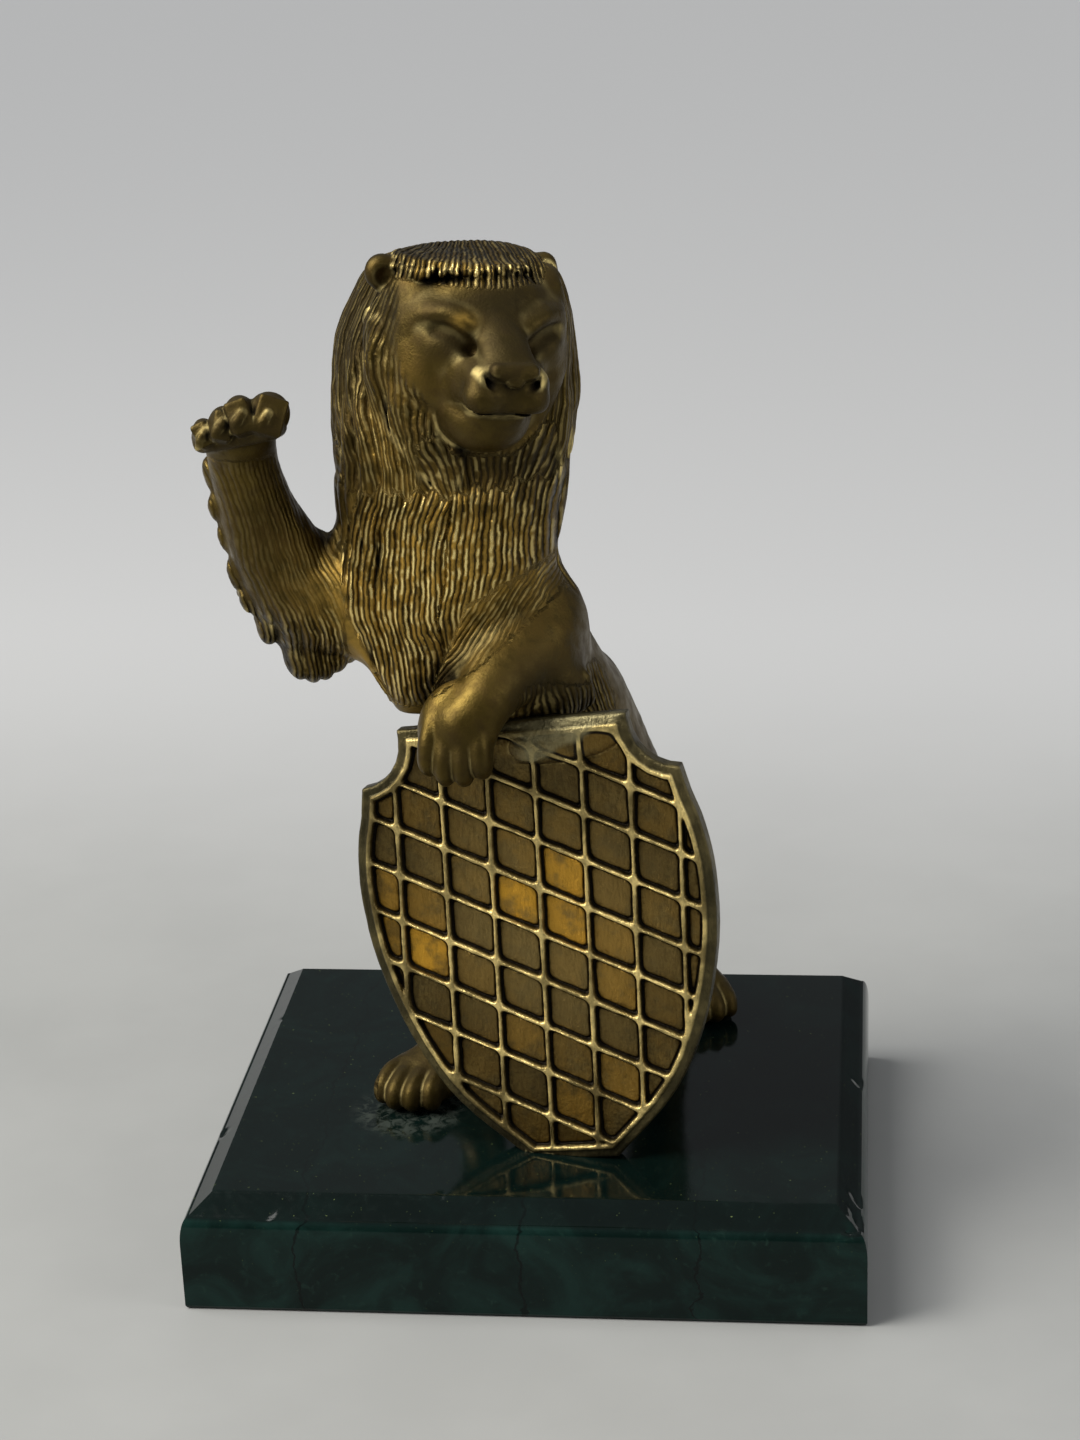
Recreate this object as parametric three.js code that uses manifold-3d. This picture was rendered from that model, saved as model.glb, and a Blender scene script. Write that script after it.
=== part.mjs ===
// A rampant lion holding a lattice shield, cast in brass, on a bevelled slab of green marble.
// Units are millimetres and +Z is up. The lion faces -Y, and +X is the viewer's right.
// The origin is the middle of the slab's underside.

import * as THREE from 'three';
import { mergeVertices } from 'three/addons/utils/BufferGeometryUtils.js';
import Module from 'manifold-3d';

const wasm = await Module();
wasm.setup();

// Slab
const PLINTH_WIDTH = 120;
const PLINTH_DEPTH = 100;
const PLINTH_HEIGHT = 21;
const BEVEL_WIDTH = 4;
const BEVEL_DROP = 3.1;
const EDGE_ROUND_WIDTH = 1.4;
const EDGE_ROUND_DROP = 5;
const EDGE_ROUND_STEPS = 4;

// Lion: every place and radius below is given for a lion this many units tall
const LION_HEIGHT = 161;
const LION_UNITS = 161;
const UNIT = LION_HEIGHT / LION_UNITS;

// Shield
const SHIELD_HEIGHT = 0.502 * LION_HEIGHT;
const SHIELD_WIDTH = 0.4 * LION_HEIGHT;
const SHIELD_THICKNESS = 4;
const BORDER_WIDTH = 1.7;
const BORDER_STEP = 0.5;
const RIM_WIDTH = 1.3;
const RIDGE_WIDTH = 1.1;
const FIELD_DEPTH = 1.1;
const COLUMN_PITCH = 8.55;
const COLUMN_LEAN = 5.7;
const ROW_PITCH = 8.95;
const ROW_SLOPE = 27;
const ROW_SHIFT = 1.9;
const SHIELD_YAW = 9;
const SHIELD_LEAN = 6;
const SHIELD_ROLL = 8;
const FIT_GAP = 0.3;

// How near two corners are to count as one
const SAME_PLACE = 1e-5;

// Faces made by joining: how short an edge is drawn together, and how far a face may turn by it
const SHORTEST_EDGE = 0.75;
const LEAST_TURN = 0.5;
const TINY_AREA = 1e-4;
const MERGE_PASSES = 6;

const rad = THREE.MathUtils.degToRad;
const X_AXIS = new THREE.Vector3(1, 0, 0);

// Solids

function toSolid(geometry) {
  const bare = new THREE.BufferGeometry();
  bare.setAttribute('position', geometry.getAttribute('position'));
  if (geometry.index) bare.setIndex(geometry.index);
  const merged = mergeVertices(bare, SAME_PLACE);
  return new wasm.Manifold(new wasm.Mesh({
    numProp: 3,
    vertProperties: new Float32Array(merged.getAttribute('position').array),
    triVerts: new Uint32Array(merged.index.array),
  }));
}

function toGeometry(solid) {
  const mesh = solid.getMesh();
  const geometry = new THREE.BufferGeometry();
  geometry.setAttribute('position', new THREE.BufferAttribute(mesh.vertProperties, 3));
  geometry.setIndex(new THREE.BufferAttribute(mesh.triVerts, 1));
  geometry.computeVertexNormals();
  return geometry;
}

// Draws together the ends of edges too short to show, where the skin stays closed and no face turns over
function mergeShortEdges(solid, shortest) {
  const mesh = solid.getMesh();
  const places = [];
  for (let v = 0; v < mesh.vertProperties.length; v += 3) {
    places.push(new THREE.Vector3().fromArray(mesh.vertProperties, v));
  }
  let faces = [];
  for (let f = 0; f < mesh.triVerts.length; f += 3) faces.push(Array.from(mesh.triVerts.slice(f, f + 3)));
  const around = places.map(() => new Set());
  faces.forEach((face) => face.forEach((v) => around[v].add(face)));
  const normalOf = (corners) => {
    const [a, b, c] = corners;
    return new THREE.Vector3().subVectors(b, a).cross(new THREE.Vector3().subVectors(c, a));
  };
  const neighbours = (v) => new Set([...around[v]].flat().filter((other) => other !== v));

  function tryMerge(keep, drop) {
    const dropSide = neighbours(drop);
    const shared = [...neighbours(keep)].filter((v) => dropSide.has(v));
    const lost = [...around[drop]].filter((face) => face.includes(keep));
    if (shared.length !== 2 || lost.length !== 2) return;
    const middle = places[keep].clone().lerp(places[drop], 0.5);
    for (const face of new Set([...around[keep], ...around[drop]])) {
      if (lost.includes(face)) continue;
      const before = normalOf(face.map((v) => places[v]));
      const after = normalOf(face.map((v) => (v === keep || v === drop ? middle : places[v])));
      const turn = before.dot(after) / (before.length() * after.length() || 1);
      if (before.length() > TINY_AREA && turn < LEAST_TURN) return;
      if (after.length() < TINY_AREA) return;
    }
    places[keep].copy(middle);
    for (const face of lost) face.forEach((v) => around[v].delete(face));
    for (const face of around[drop]) {
      face[face.indexOf(drop)] = keep;
      around[keep].add(face);
    }
    around[drop].clear();
    lost.forEach((face) => { face.length = 0; });
  }

  for (let pass = 1; pass <= MERGE_PASSES; pass++) {
    const limit = (shortest * pass) / MERGE_PASSES;
    for (const face of faces) {
      for (let corner = 0; corner < 3 && face.length; corner++) {
        const [a, b] = [face[corner], face[(corner + 1) % 3]];
        if (places[a].distanceTo(places[b]) < limit) tryMerge(a, b);
      }
    }
    faces = faces.filter((face) => face.length);
  }
  const geometry = new THREE.BufferGeometry().setFromPoints(places);
  geometry.setIndex(faces.flat());
  return toSolid(geometry.toNonIndexed());
}

function join(solids) {
  return solids.reduce((sum, solid) => sum.add(solid));
}

// A closed skin over rings of points that all have the same count, each end fanned from its middle
function skin(rings) {
  const sides = rings[0].length;
  const points = rings.flat();
  const faces = [];
  for (let r = 0; r < rings.length - 1; r++) {
    for (let s = 0; s < sides; s++) {
      const a = r * sides + s;
      const b = r * sides + (s + 1) % sides;
      faces.push(a, b, b + sides, a, b + sides, a + sides);
    }
  }
  const middle = (ring) => ring.reduce((sum, p) => sum.add(p), new THREE.Vector3()).divideScalar(sides);
  const first = points.push(middle(rings[0])) - 1;
  const last = points.push(middle(rings[rings.length - 1])) - 1;
  const top = (rings.length - 1) * sides;
  for (let s = 0; s < sides; s++) {
    const next = (s + 1) % sides;
    faces.push(first, next, s, last, top + s, top + next);
  }
  const geometry = new THREE.BufferGeometry().setFromPoints(points);
  geometry.setIndex(faces);
  return toSolid(geometry);
}

// An oval, its three radii along its own axes, turned and then placed
function oval(place, radii, turn = [0, 0, 0], sides = 12) {
  const geometry = new THREE.SphereGeometry(1, sides, Math.ceil(sides * 0.6));
  geometry.scale(...radii.map((radius) => radius * UNIT));
  const turned = new THREE.Euler(...turn.map(rad), 'ZYX');
  geometry.applyMatrix4(new THREE.Matrix4().makeRotationFromEuler(turned));
  geometry.translate(...place.map((value) => value * UNIT));
  return toSolid(geometry);
}

// A limb through stations [x, y, z, half width, half depth]; the width runs along the side vector
function limb(stations, sides = 14, side = X_AXIS) {
  const places = stations.map(([x, y, z]) => new THREE.Vector3(x, y, z).multiplyScalar(UNIT));
  const rings = places.map((place, index) => {
    const before = places[Math.max(index - 1, 0)];
    const after = places[Math.min(index + 1, places.length - 1)];
    const along = new THREE.Vector3().subVectors(after, before).normalize();
    const across = side.clone().addScaledVector(along, -side.dot(along)).normalize();
    const through = new THREE.Vector3().crossVectors(along, across);
    const [halfWidth, halfDepth] = stations[index].slice(3);
    return Array.from({ length: sides }, (unused, s) => {
      const angle = (2 * Math.PI * s) / sides;
      return place.clone()
        .addScaledVector(across, halfWidth * UNIT * Math.cos(angle))
        .addScaledVector(through, halfDepth * UNIT * Math.sin(angle));
    });
  });
  return skin(rings);
}

// A pointed lock of fur from its root to its tip, bulging outwards in between
function lock(root, tip, halfWidth, halfThick, outward, bulge = 1) {
  const start = new THREE.Vector3(...root);
  const end = new THREE.Vector3(...tip);
  const out = new THREE.Vector3(...outward).normalize();
  const along = new THREE.Vector3().subVectors(end, start).normalize();
  const across = new THREE.Vector3().crossVectors(along, out).normalize();
  const shape = [[0, 0.45, 0], [0.35, 1, 1], [0.75, 0.7, 0.8], [1, 0.12, 0.1]];
  const stations = shape.map(([share, size, lift]) => {
    const place = start.clone().lerp(end, share).addScaledVector(out, bulge * lift);
    return [place.x, place.y, place.z, halfWidth * size, halfThick * size];
  });
  return limb(stations, 5, across);
}

// Slab: four mitred sides with a rounded edge and a flat bevel

function plinthProfile() {
  const edgeTop = PLINTH_HEIGHT - BEVEL_DROP;
  const profile = [[0, 0]];
  for (let step = 0; step <= EDGE_ROUND_STEPS; step++) {
    const angle = (step / EDGE_ROUND_STEPS) * Math.PI / 2;
    const inset = EDGE_ROUND_WIDTH * (1 - Math.cos(angle));
    profile.push([inset, edgeTop - EDGE_ROUND_DROP * (1 - Math.sin(angle))]);
  }
  profile.push([EDGE_ROUND_WIDTH + BEVEL_WIDTH, PLINTH_HEIGHT]);
  return profile;
}

function plinth() {
  const rings = plinthProfile().map(([inset, z]) => {
    const x = PLINTH_WIDTH / 2 - inset;
    const y = PLINTH_DEPTH / 2 - inset;
    return [[x, -y], [x, y], [-x, y], [-x, -y]].map(([px, py]) => new THREE.Vector3(px, py, z));
  });
  return skin(rings);
}

// Shield: drawn upright in its own plane, front towards +Z, its foot at the origin

function shieldOutline(inset) {
  const halfWidth = SHIELD_WIDTH / 2;
  const notchRadius = 0.105 * SHIELD_HEIGHT;
  const topHalf = 0.645 * halfWidth - inset;
  const top = SHIELD_HEIGHT - inset;
  const notchX = 0.645 * halfWidth + notchRadius;
  const notchY = SHIELD_HEIGHT - 0.02 * SHIELD_HEIGHT;
  const side = [
    [0.925, 0.815], [0.975, 0.74], [1, 0.63], [0.965, 0.475], [0.83, 0.295], [0.62, 0.145], [0.25, 0],
  ].map(([x, y]) => new THREE.Vector2(x * halfWidth, y * SHIELD_HEIGHT));
  const curve = new THREE.SplineCurve(side);
  const points = [new THREE.Vector2(topHalf, top)];
  const notchStart = Math.PI;
  const notchEnd = 1.5 * Math.PI - 0.05;
  const notchSteps = 5;
  for (let step = 0; step <= notchSteps; step++) {
    const angle = notchStart + ((notchEnd - notchStart) * step) / notchSteps;
    const radius = notchRadius + inset;
    points.push(new THREE.Vector2(notchX + radius * Math.cos(angle), notchY + radius * Math.sin(angle)));
  }
  const sideSteps = 12;
  for (let step = 0; step <= sideSteps; step++) {
    const share = step / sideSteps;
    const along = curve.getTangent(share);
    const place = curve.getPoint(share);
    points.push(new THREE.Vector2(place.x + along.y * inset, Math.max(place.y - along.x * inset, inset)));
  }
  const mirrored = points.map((point) => new THREE.Vector2(-point.x, point.y)).reverse();
  return new THREE.Shape([...points, ...mirrored]);
}

function plate(inset, bottom, top) {
  const options = { depth: top - bottom, bevelEnabled: false, curveSegments: 4 };
  const geometry = new THREE.ExtrudeGeometry(shieldOutline(inset), options);
  geometry.translate(0, 0, bottom);
  return toSolid(geometry);
}

function bar(width, length, angle, x, y, bottom, top) {
  const geometry = new THREE.BoxGeometry(width, length, top - bottom);
  geometry.rotateZ(angle);
  geometry.translate(x, y, (bottom + top) / 2);
  return toSolid(geometry);
}

function lattice(bottom, top) {
  const reach = SHIELD_HEIGHT * 1.5;
  const middle = SHIELD_HEIGHT / 2;
  const bars = [];
  const columns = Math.ceil(SHIELD_WIDTH / COLUMN_PITCH / 2) + 1;
  for (let column = -columns; column <= columns; column++) {
    const x = column * COLUMN_PITCH;
    bars.push(bar(RIDGE_WIDTH, reach, rad(-COLUMN_LEAN), x, middle, bottom, top));
  }
  const rows = Math.ceil(SHIELD_HEIGHT / ROW_PITCH / 2) + 2;
  for (let row = -rows; row <= rows; row++) {
    const y = middle + ROW_SHIFT + row * ROW_PITCH;
    bars.push(bar(RIDGE_WIDTH, reach, rad(90 - ROW_SLOPE), 0, y, bottom, top));
  }
  return join(bars);
}

// The smear of braze between the top right of the shield and the foreleg above it
function brazeWeb(grow) {
  const geometry = new THREE.SphereGeometry(1, 14, 8);
  geometry.scale(0.13 * SHIELD_HEIGHT + grow, 0.045 * SHIELD_HEIGHT + grow, SHIELD_THICKNESS * 0.35 + grow);
  geometry.rotateZ(rad(6));
  geometry.translate(0.12 * SHIELD_HEIGHT, 0.95 * SHIELD_HEIGHT, SHIELD_THICKNESS * 0.8);
  return toSolid(geometry);
}

function shieldPlate() {
  const front = SHIELD_THICKNESS;
  const raised = plate(BORDER_WIDTH, front - BORDER_STEP - FIELD_DEPTH, front);
  const blank = plate(0, 0, front - BORDER_STEP).add(raised);
  const over = front + 1;
  const field = plate(BORDER_WIDTH + RIM_WIDTH, front - FIELD_DEPTH, over);
  const recess = field.subtract(lattice(front - FIELD_DEPTH - 1, over + 1));
  return blank.subtract(recess).add(brazeWeb(0));
}

function shieldBlank() {
  return plate(-FIT_GAP, -FIT_GAP, SHIELD_THICKNESS + FIT_GAP).add(brazeWeb(FIT_GAP));
}

// Turns a solid drawn in the shield's plane to where the shield stands in front of the lion
function standShield(solid) {
  const foot = new THREE.Vector3(8, -30.6, -0.4).multiplyScalar(UNIT);
  const geometry = toGeometry(solid);
  geometry.translate(0, 0, -SHIELD_THICKNESS);
  geometry.rotateZ(rad(SHIELD_ROLL));
  geometry.rotateX(rad(90 - SHIELD_LEAN));
  geometry.rotateZ(rad(-SHIELD_YAW));
  geometry.translate(foot.x, foot.y, foot.z);
  return toSolid(geometry);
}

// Everything below the slab's top, to cut the feet flat
function ground() {
  const size = 2 * (PLINTH_WIDTH + PLINTH_DEPTH + LION_HEIGHT);
  const geometry = new THREE.BoxGeometry(size, size, size);
  geometry.translate(0, 0, -size / 2);
  return toSolid(geometry);
}

// Lion: body

function torso() {
  return limb([
    [2, 9, 50, 8, 8],
    [2, 9, 57, 14, 13],
    [1, 8, 66, 16.5, 15],
    [-3, 4, 75, 17.5, 15],
    [-7, 1, 85, 17, 14.5],
    [-9.5, -1, 95, 17, 14.5],
    [-11, -1, 106, 16, 14],
    [-11, 0, 115, 14, 12],
  ], 16);
}

// The mane as a column round the head, neck and chest: height, middle x, half width, middle y, half depth
const MANE = [
  [79, -18, 4, -13, 4],
  [84, -17, 8.5, -11, 8.5],
  [91, -15.5, 13.5, -8, 12.5],
  [100, -13, 17, -5.5, 15.5],
  [111, -11.8, 18, -4, 17.5],
  [123, -11.4, 19, -2.5, 17.8],
  [133, -11, 19.8, 0, 17],
  [143, -10.4, 19.2, 1.5, 16],
  [150, -9.8, 17.2, 1.5, 15],
  [155, -9.2, 14, 0.5, 12.5],
  [157.6, -9, 10.5, -1, 9],
];

const MANE_STRANDS = 28;

function maneRing(height) {
  const above = Math.max(1, MANE.findIndex((row) => row[0] >= height));
  const [low, high] = [MANE[above - 1], MANE[above]];
  const share = (height - low[0]) / (high[0] - low[0]);
  return low.map((value, index) => value + (high[index] - value) * share);
}

// A point on the mane: angle 0 faces the viewer and grows towards the viewer's right
function onMane(height, angle, lift = 0) {
  const [, x, halfWidth, y, halfDepth] = maneRing(height);
  return [
    x + (halfWidth + lift) * Math.sin(rad(angle)),
    y - (halfDepth + lift) * Math.cos(rad(angle)),
    height,
  ];
}

function maneColumn() {
  const sides = 2 * MANE_STRANDS;
  const rings = MANE.map(([z, x, halfWidth, y, halfDepth]) => Array.from({ length: sides }, (unused, s) => {
    const angle = (2 * Math.PI * s) / sides;
    const groove = s % 2 ? 0.955 : 1.02;
    return new THREE.Vector3(
      (x + halfWidth * groove * Math.cos(angle)) * UNIT,
      (y + halfDepth * groove * Math.sin(angle)) * UNIT,
      z * UNIT,
    );
  }));
  return skin(rings);
}

// Rows of locks on the mane: height of the roots, length, first angle, last angle, count
const LOCK_ROWS = [
  [147, 32, -112, -64, 4],
  [143, 32, 76, 112, 3],
  [126, 30, -96, -50, 4],
  [124, 30, 60, 98, 3],
  [119, 26, -38, 46, 6],
  [104, 22, -76, 62, 8],
  [128, 36, 124, 236, 6],
  [147, 26, 134, 226, 4],
];

function maneLocks() {
  const locks = [];
  for (const [height, length, first, last, count] of LOCK_ROWS) {
    for (let index = 0; index < count; index++) {
      const angle = first + ((last - first) * index) / (count - 1);
      const tipHeight = Math.max(height - length, MANE[0][0]);
      const root = onMane(height, angle, -1.2);
      const tip = onMane(tipHeight, angle * 0.97, 0.9);
      const outward = [Math.sin(rad(angle)), -Math.cos(rad(angle)), 0];
      const halfWidth = Math.abs(rad((last - first) / (count - 1))) * maneRing(height)[2] * 0.42;
      locks.push(lock(root, tip, halfWidth, 1.8, outward, 1.1));
    }
  }
  return locks;
}

// Head: built facing -Y about its own middle, then turned to the viewer's right and tilted

const HEAD_PLACE = [-8, -3, 142];
const HEAD_SIZE = 0.92;
const HEAD_YAW = 23.5;
const HEAD_ROLL = 7;

function headSolid() {
  const both = (make) => [make(-1), make(1)];
  const skull = [
    oval([0, -8.2, 1], [14.2, 12, 14.4], [0, 0, 0], 14),
    limb([
      [0, -10, -3, 11, 10],
      [0, -17, -3, 9.4, 8.4],
      [0, -23, -3.2, 7.6, 6.4],
      [0, -28, -2.8, 6.2, 5],
      [0, -30.5, -2, 4.2, 3.4],
    ], 10),
    limb([[0, -15, 10, 4.8, 4], [0, -20, 7, 3.8, 3.4], [0, -26, 3.4, 3.1, 2.8], [0, -30, 0.8, 3.2, 2.2]], 6),
    limb([[0, -27.5, 1.8, 4.6, 1.4], [0, -31, 1.2, 4.4, 1.7], [0, -32.4, -0.4, 2.6, 1.3]], 6),
    oval([-1, -20.6, -10.8], [7.2, 7, 5.2], [0, 0, 0], 10),
    ...both((hand) => oval([hand * 3.7, -26.6, -3.9], [4, 4, 3.4], [0, 0, 0], 8)),
    ...both((hand) => oval([hand * 7.6, -17.9, 8.4], [5.6, 3.4, 2.3], [0, hand * -14, 0], 8)),
    ...both((hand) => oval([hand * 9.2, -14.5, -2.4], [5.4, 5, 7], [0, 0, 0], 8)),
  ];
  const mouth = both((hand) => {
    const geometry = new THREE.BoxGeometry(11 * UNIT, 9 * UNIT, 0.9 * UNIT);
    geometry.rotateY(rad(hand * 7));
    geometry.rotateZ(rad(hand * 28));
    geometry.translate(hand * 5 * UNIT, -28.5 * UNIT, -7.6 * UNIT);
    return toSolid(geometry);
  });
  const sockets = both((hand) => oval([hand * 8, -20, 4.8], [3.5, 3, 2], [0, hand * -8, 0], 6));
  const eyes = both((hand) => oval([hand * 7.6, -17.3, 4.4], [2.6, 2.8, 1.8], [0, 0, 0], 6));
  const nostrils = both((hand) => oval([hand * 2.6, -32.4, 0], [1, 1.2, 0.7], [0, 0, 0], 5));
  const face = join([join(skull).subtract(join([...mouth, ...sockets, ...nostrils])), ...eyes]);
  return turnHead(face.add(join([...ears(), ...forelock(), ...cheekFur()])));
}

function ears() {
  return [[-17.4, 13], [13, 13.6]].map(([x, z]) => {
    const turn = [0, 0, Math.sign(x) * 16];
    const shell = oval([x, -1.2, z], [3.1, 2.5, 3.6], turn, 8);
    return shell.subtract(oval([x, -4, z - 0.6], [1.8, 2, 2.2], turn, 6));
  });
}

// The low mop of combed hair over the brow, which ends in a row of small curls
function forelock() {
  const cap = oval([-3.4, -2.6, 15], [12.6, 11.8, 3.1], [-4, 0, -16], 14);
  const count = 9;
  const curls = Array.from({ length: count }, (unused, index) => {
    const angle = rad(75 * ((2 * index) / (count - 1) - 1) - 16);
    const place = [-3.4 + 12.2 * Math.sin(angle), -3 - 11.6 * Math.cos(angle)];
    return oval([...place, 14.6 + 0.3 * Math.cos(3 * index)], [1.8, 1.9, 1.7], [0, 0, 0], 6);
  });
  return [cap, ...curls];
}

// Locks that spring from the edge of the face
function cheekFur() {
  const locks = [];
  const count = 5;
  for (const hand of [-1, 1]) {
    for (let index = 0; index < count; index++) {
      const angle = rad(20 - (index * 104) / (count - 1));
      const x = hand * 13 * Math.cos(angle);
      const z = 13.5 * Math.sin(angle);
      const root = [x * 0.86, -12.5, z * 0.86];
      const tip = [x * 1.3, -8 - index * 0.8, z * 1.2 - 11];
      locks.push(lock(root, tip, 2.8, 1.7, [0, -1, 0], 1.8));
    }
  }
  return locks;
}

function turnHead(solid) {
  const geometry = toGeometry(solid);
  geometry.scale(HEAD_SIZE, HEAD_SIZE, HEAD_SIZE);
  geometry.rotateY(rad(HEAD_ROLL));
  geometry.rotateZ(rad(HEAD_YAW));
  geometry.translate(...HEAD_PLACE.map((value) => value * UNIT));
  return toSolid(geometry);
}

// Paws: a pad with four toes that point along -Y before the turn

function paw(place, size, turn) {
  const toes = [-0.62, -0.22, 0.22, 0.62];
  const toeRadii = [0.31, 0.44, 0.44].map((radius) => radius * size);
  const parts = [oval([0, 0.3 * size, 0], [0.95 * size, 1.15 * size, 0.52 * size], [0, 0, 0], 10)];
  toes.forEach((share, index) => {
    const reach = index === 0 || index === 3 ? -0.4 : -0.6;
    parts.push(oval([share * size, reach * size, -0.03 * size], toeRadii, [0, 0, 0], 8));
  });
  const geometry = toGeometry(join(parts));
  const turned = new THREE.Euler(...turn.map(rad), 'ZYX');
  geometry.applyMatrix4(new THREE.Matrix4().makeRotationFromEuler(turned));
  geometry.translate(...place.map((value) => value * UNIT));
  return toSolid(geometry);
}

// Legs

// The raised paw's curled toes: middle and radii
const RAISED_TOES = [
  [-39.4, -22.8, 134.6, 3.7, 4.4, 3.9],
  [-43.6, -24.2, 134.9, 2.8, 4, 3.4],
  [-47, -24.2, 133.4, 2.5, 3.8, 3],
  [-50.3, -23, 131.6, 2.3, 3.6, 2.7],
];

function raisedForeleg() {
  const arm = [
    limb([
      [-14, -2, 100, 10, 12],
      [-25, -5, 98.5, 11, 11.5],
      [-33, -7, 97.5, 10.5, 10.5],
      [-38.5, -8, 100, 9, 9.5],
      [-42, -8.5, 105.5, 8, 8.5],
      [-44.6, -9.5, 112, 7, 7.4],
      [-46, -11, 119, 6.2, 6.4],
      [-46.6, -13.5, 125.5, 6, 5.4],
      [-46, -16.8, 130, 6.2, 4.6],
    ], 10, new THREE.Vector3(0.95, 0, 0.3)),
    oval([-38, -7, 92.5], [7.5, 6.5, 7], [0, 0, 0], 8),
    oval([-45.2, -19.6, 130.9], [8.2, 5.2, 2.9], [-8, -11, -6], 10),
    ...RAISED_TOES.map(([x, y, z, ...radii]) => oval([x, y, z], radii, [-18, 0, 8], 8)),
  ];
  const fringe = 6;
  for (let index = 0; index < fringe; index++) {
    const share = index / (fringe - 1);
    const root = [-50.6 + 7.6 * share, -9, 120 - 27 * share];
    const tip = [-53.6 + 8.6 * share, -6, 110.5 - 26 * share];
    arm.push(lock(root, tip, 3, 2, [-0.6, -0.8, 0], 0.8));
  }
  for (let index = 0; index < 4; index++) {
    const x = -44.5 + 4.6 * index;
    arm.push(lock([x + 1, -8, 92], [x + 2.2, -6, 81.5 + 0.8 * index], 2.7, 2.4, [0, -1, 0], 1));
  }
  return arm;
}

function shieldForeleg() {
  const arm = [
    limb([
      [-7, -3, 104, 8, 9],
      [-3.5, -6, 97, 9, 9],
      [1, -8, 92, 9, 8.6],
      [1.2, -12, 90, 8, 7.8],
      [-0.8, -16.4, 88.2, 7, 6.8],
      [-3.4, -20.6, 86.8, 6, 6.2],
      [-5.6, -24.5, 84.4, 5.3, 5.6],
      [-8.4, -27, 80.8, 5.4, 4.8],
    ], 10, new THREE.Vector3(0.8, 0.6, 0.1)),
    oval([3, -4, 90], [7.5, 7, 10], [0, 0, 0], 8),
    oval([4.6, -8.4, 83.6], [7, 6.4, 7.4], [0, 8, 0], 8),
    paw([-9.8, -27.6, 78.4], 7.6, [66, 0, -8]),
  ];
  const tufts = 5;
  for (let index = 0; index < tufts; index++) {
    const x = -0.5 + 2.9 * index;
    const tip = [x - 0.8, -14 + 1.6 * index, 77];
    arm.push(lock([x, -14 + index, 85], tip, 2.3, 1.7, [0, -1, 0], 0.6));
  }
  return arm;
}

function hindLegs() {
  return [
    limb([
      [-2, 7, 70, 14, 14],
      [-6, 3, 60, 13, 14.5],
      [-10, -1, 50, 10.5, 12.5],
      [-12, -3, 42, 8.5, 9.5],
      [-12.7, 0, 33, 6.4, 7.6],
      [-13, 3, 25, 4.8, 6.4],
      [-13.2, 4, 18, 4.2, 5.6],
      [-14.5, 2, 11, 4.4, 5],
      [-18, -3, 6, 5.6, 4.4],
      [-21.5, -8, 4, 6.6, 3.8],
    ], 10),
    paw([-23.3, -9.4, 3.2], 7.5, [0, 0, -16]),
    limb([
      [4, 11, 70, 12.5, 13],
      [8, 13, 60, 12, 13.5],
      [13, 14, 50, 10.5, 12.5],
      [16, 17, 42, 8.5, 10],
      [18, 23, 34, 6.6, 7.8],
      [18.5, 30, 26, 5, 6.2],
      [19.5, 34, 19, 4.3, 5.4],
      [21, 34.5, 12, 4.5, 5],
      [24, 32, 6.4, 5.6, 4.4],
      [26.5, 28, 4.2, 6.4, 3.8],
    ], 10),
    paw([27.4, 27, 3.2], 7, [0, 0, 20]),
  ];
}

function tail() {
  return [
    limb([
      [2, 14, 64, 5, 5],
      [2, 22, 60, 3.6, 3.6],
      [1.5, 28.5, 50, 2.9, 2.9],
      [0.5, 31, 38, 2.6, 2.6],
      [0.5, 32, 26, 2.5, 2.5],
      [2, 34, 15, 3.4, 3.4],
      [3, 36, 8, 4.6, 4.4],
      [3.5, 37.5, 3, 4, 3.8],
      [3.8, 38.5, -1, 3, 3],
    ], 8),
    ...[-1, 0, 1].map((hand) => {
      const tip = [4 + 4.4 * hand, 40, 0.4];
      return lock([2 + 3 * hand, 33.5, 15], tip, 2, 2, [hand, 1, 0.2], 1.2);
    }),
  ];
}

function lion() {
  const casting = join([
    torso(),
    maneColumn(),
    ...maneLocks(),
    headSolid(),
    ...raisedForeleg(),
    ...shieldForeleg(),
    ...hindLegs(),
    ...tail(),
  ]);
  const finished = mergeShortEdges(casting, SHORTEST_EDGE);
  return finished.subtract(standShield(shieldBlank())).subtract(ground());
}

// Materials

const BRASS = { color: 0x7a5c2c, roughness: 0.42, metalness: 0.9 };
const SHIELD_BRASS = { color: 0x8a7238, roughness: 0.38, metalness: 0.9 };
const MARBLE = { color: 0x0c201a, roughness: 0.12, metalness: 0 };

function named(name, solid, look) {
  const mesh = new THREE.Mesh(toGeometry(solid), new THREE.MeshStandardMaterial(look));
  mesh.name = name;
  return mesh;
}

const model = new THREE.Group();
model.add(named('marble_plinth', plinth(), MARBLE));

const onPlinth = new THREE.Group();
onPlinth.position.set(0, 0, PLINTH_HEIGHT);
onPlinth.add(named('lion', lion(), BRASS));
onPlinth.add(named('shield', standShield(shieldPlate()).subtract(ground()), SHIELD_BRASS));
model.add(onPlinth);

export default model;
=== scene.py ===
"""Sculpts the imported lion, shield and marble slab finer, in aged brass and polished marble."""

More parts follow.
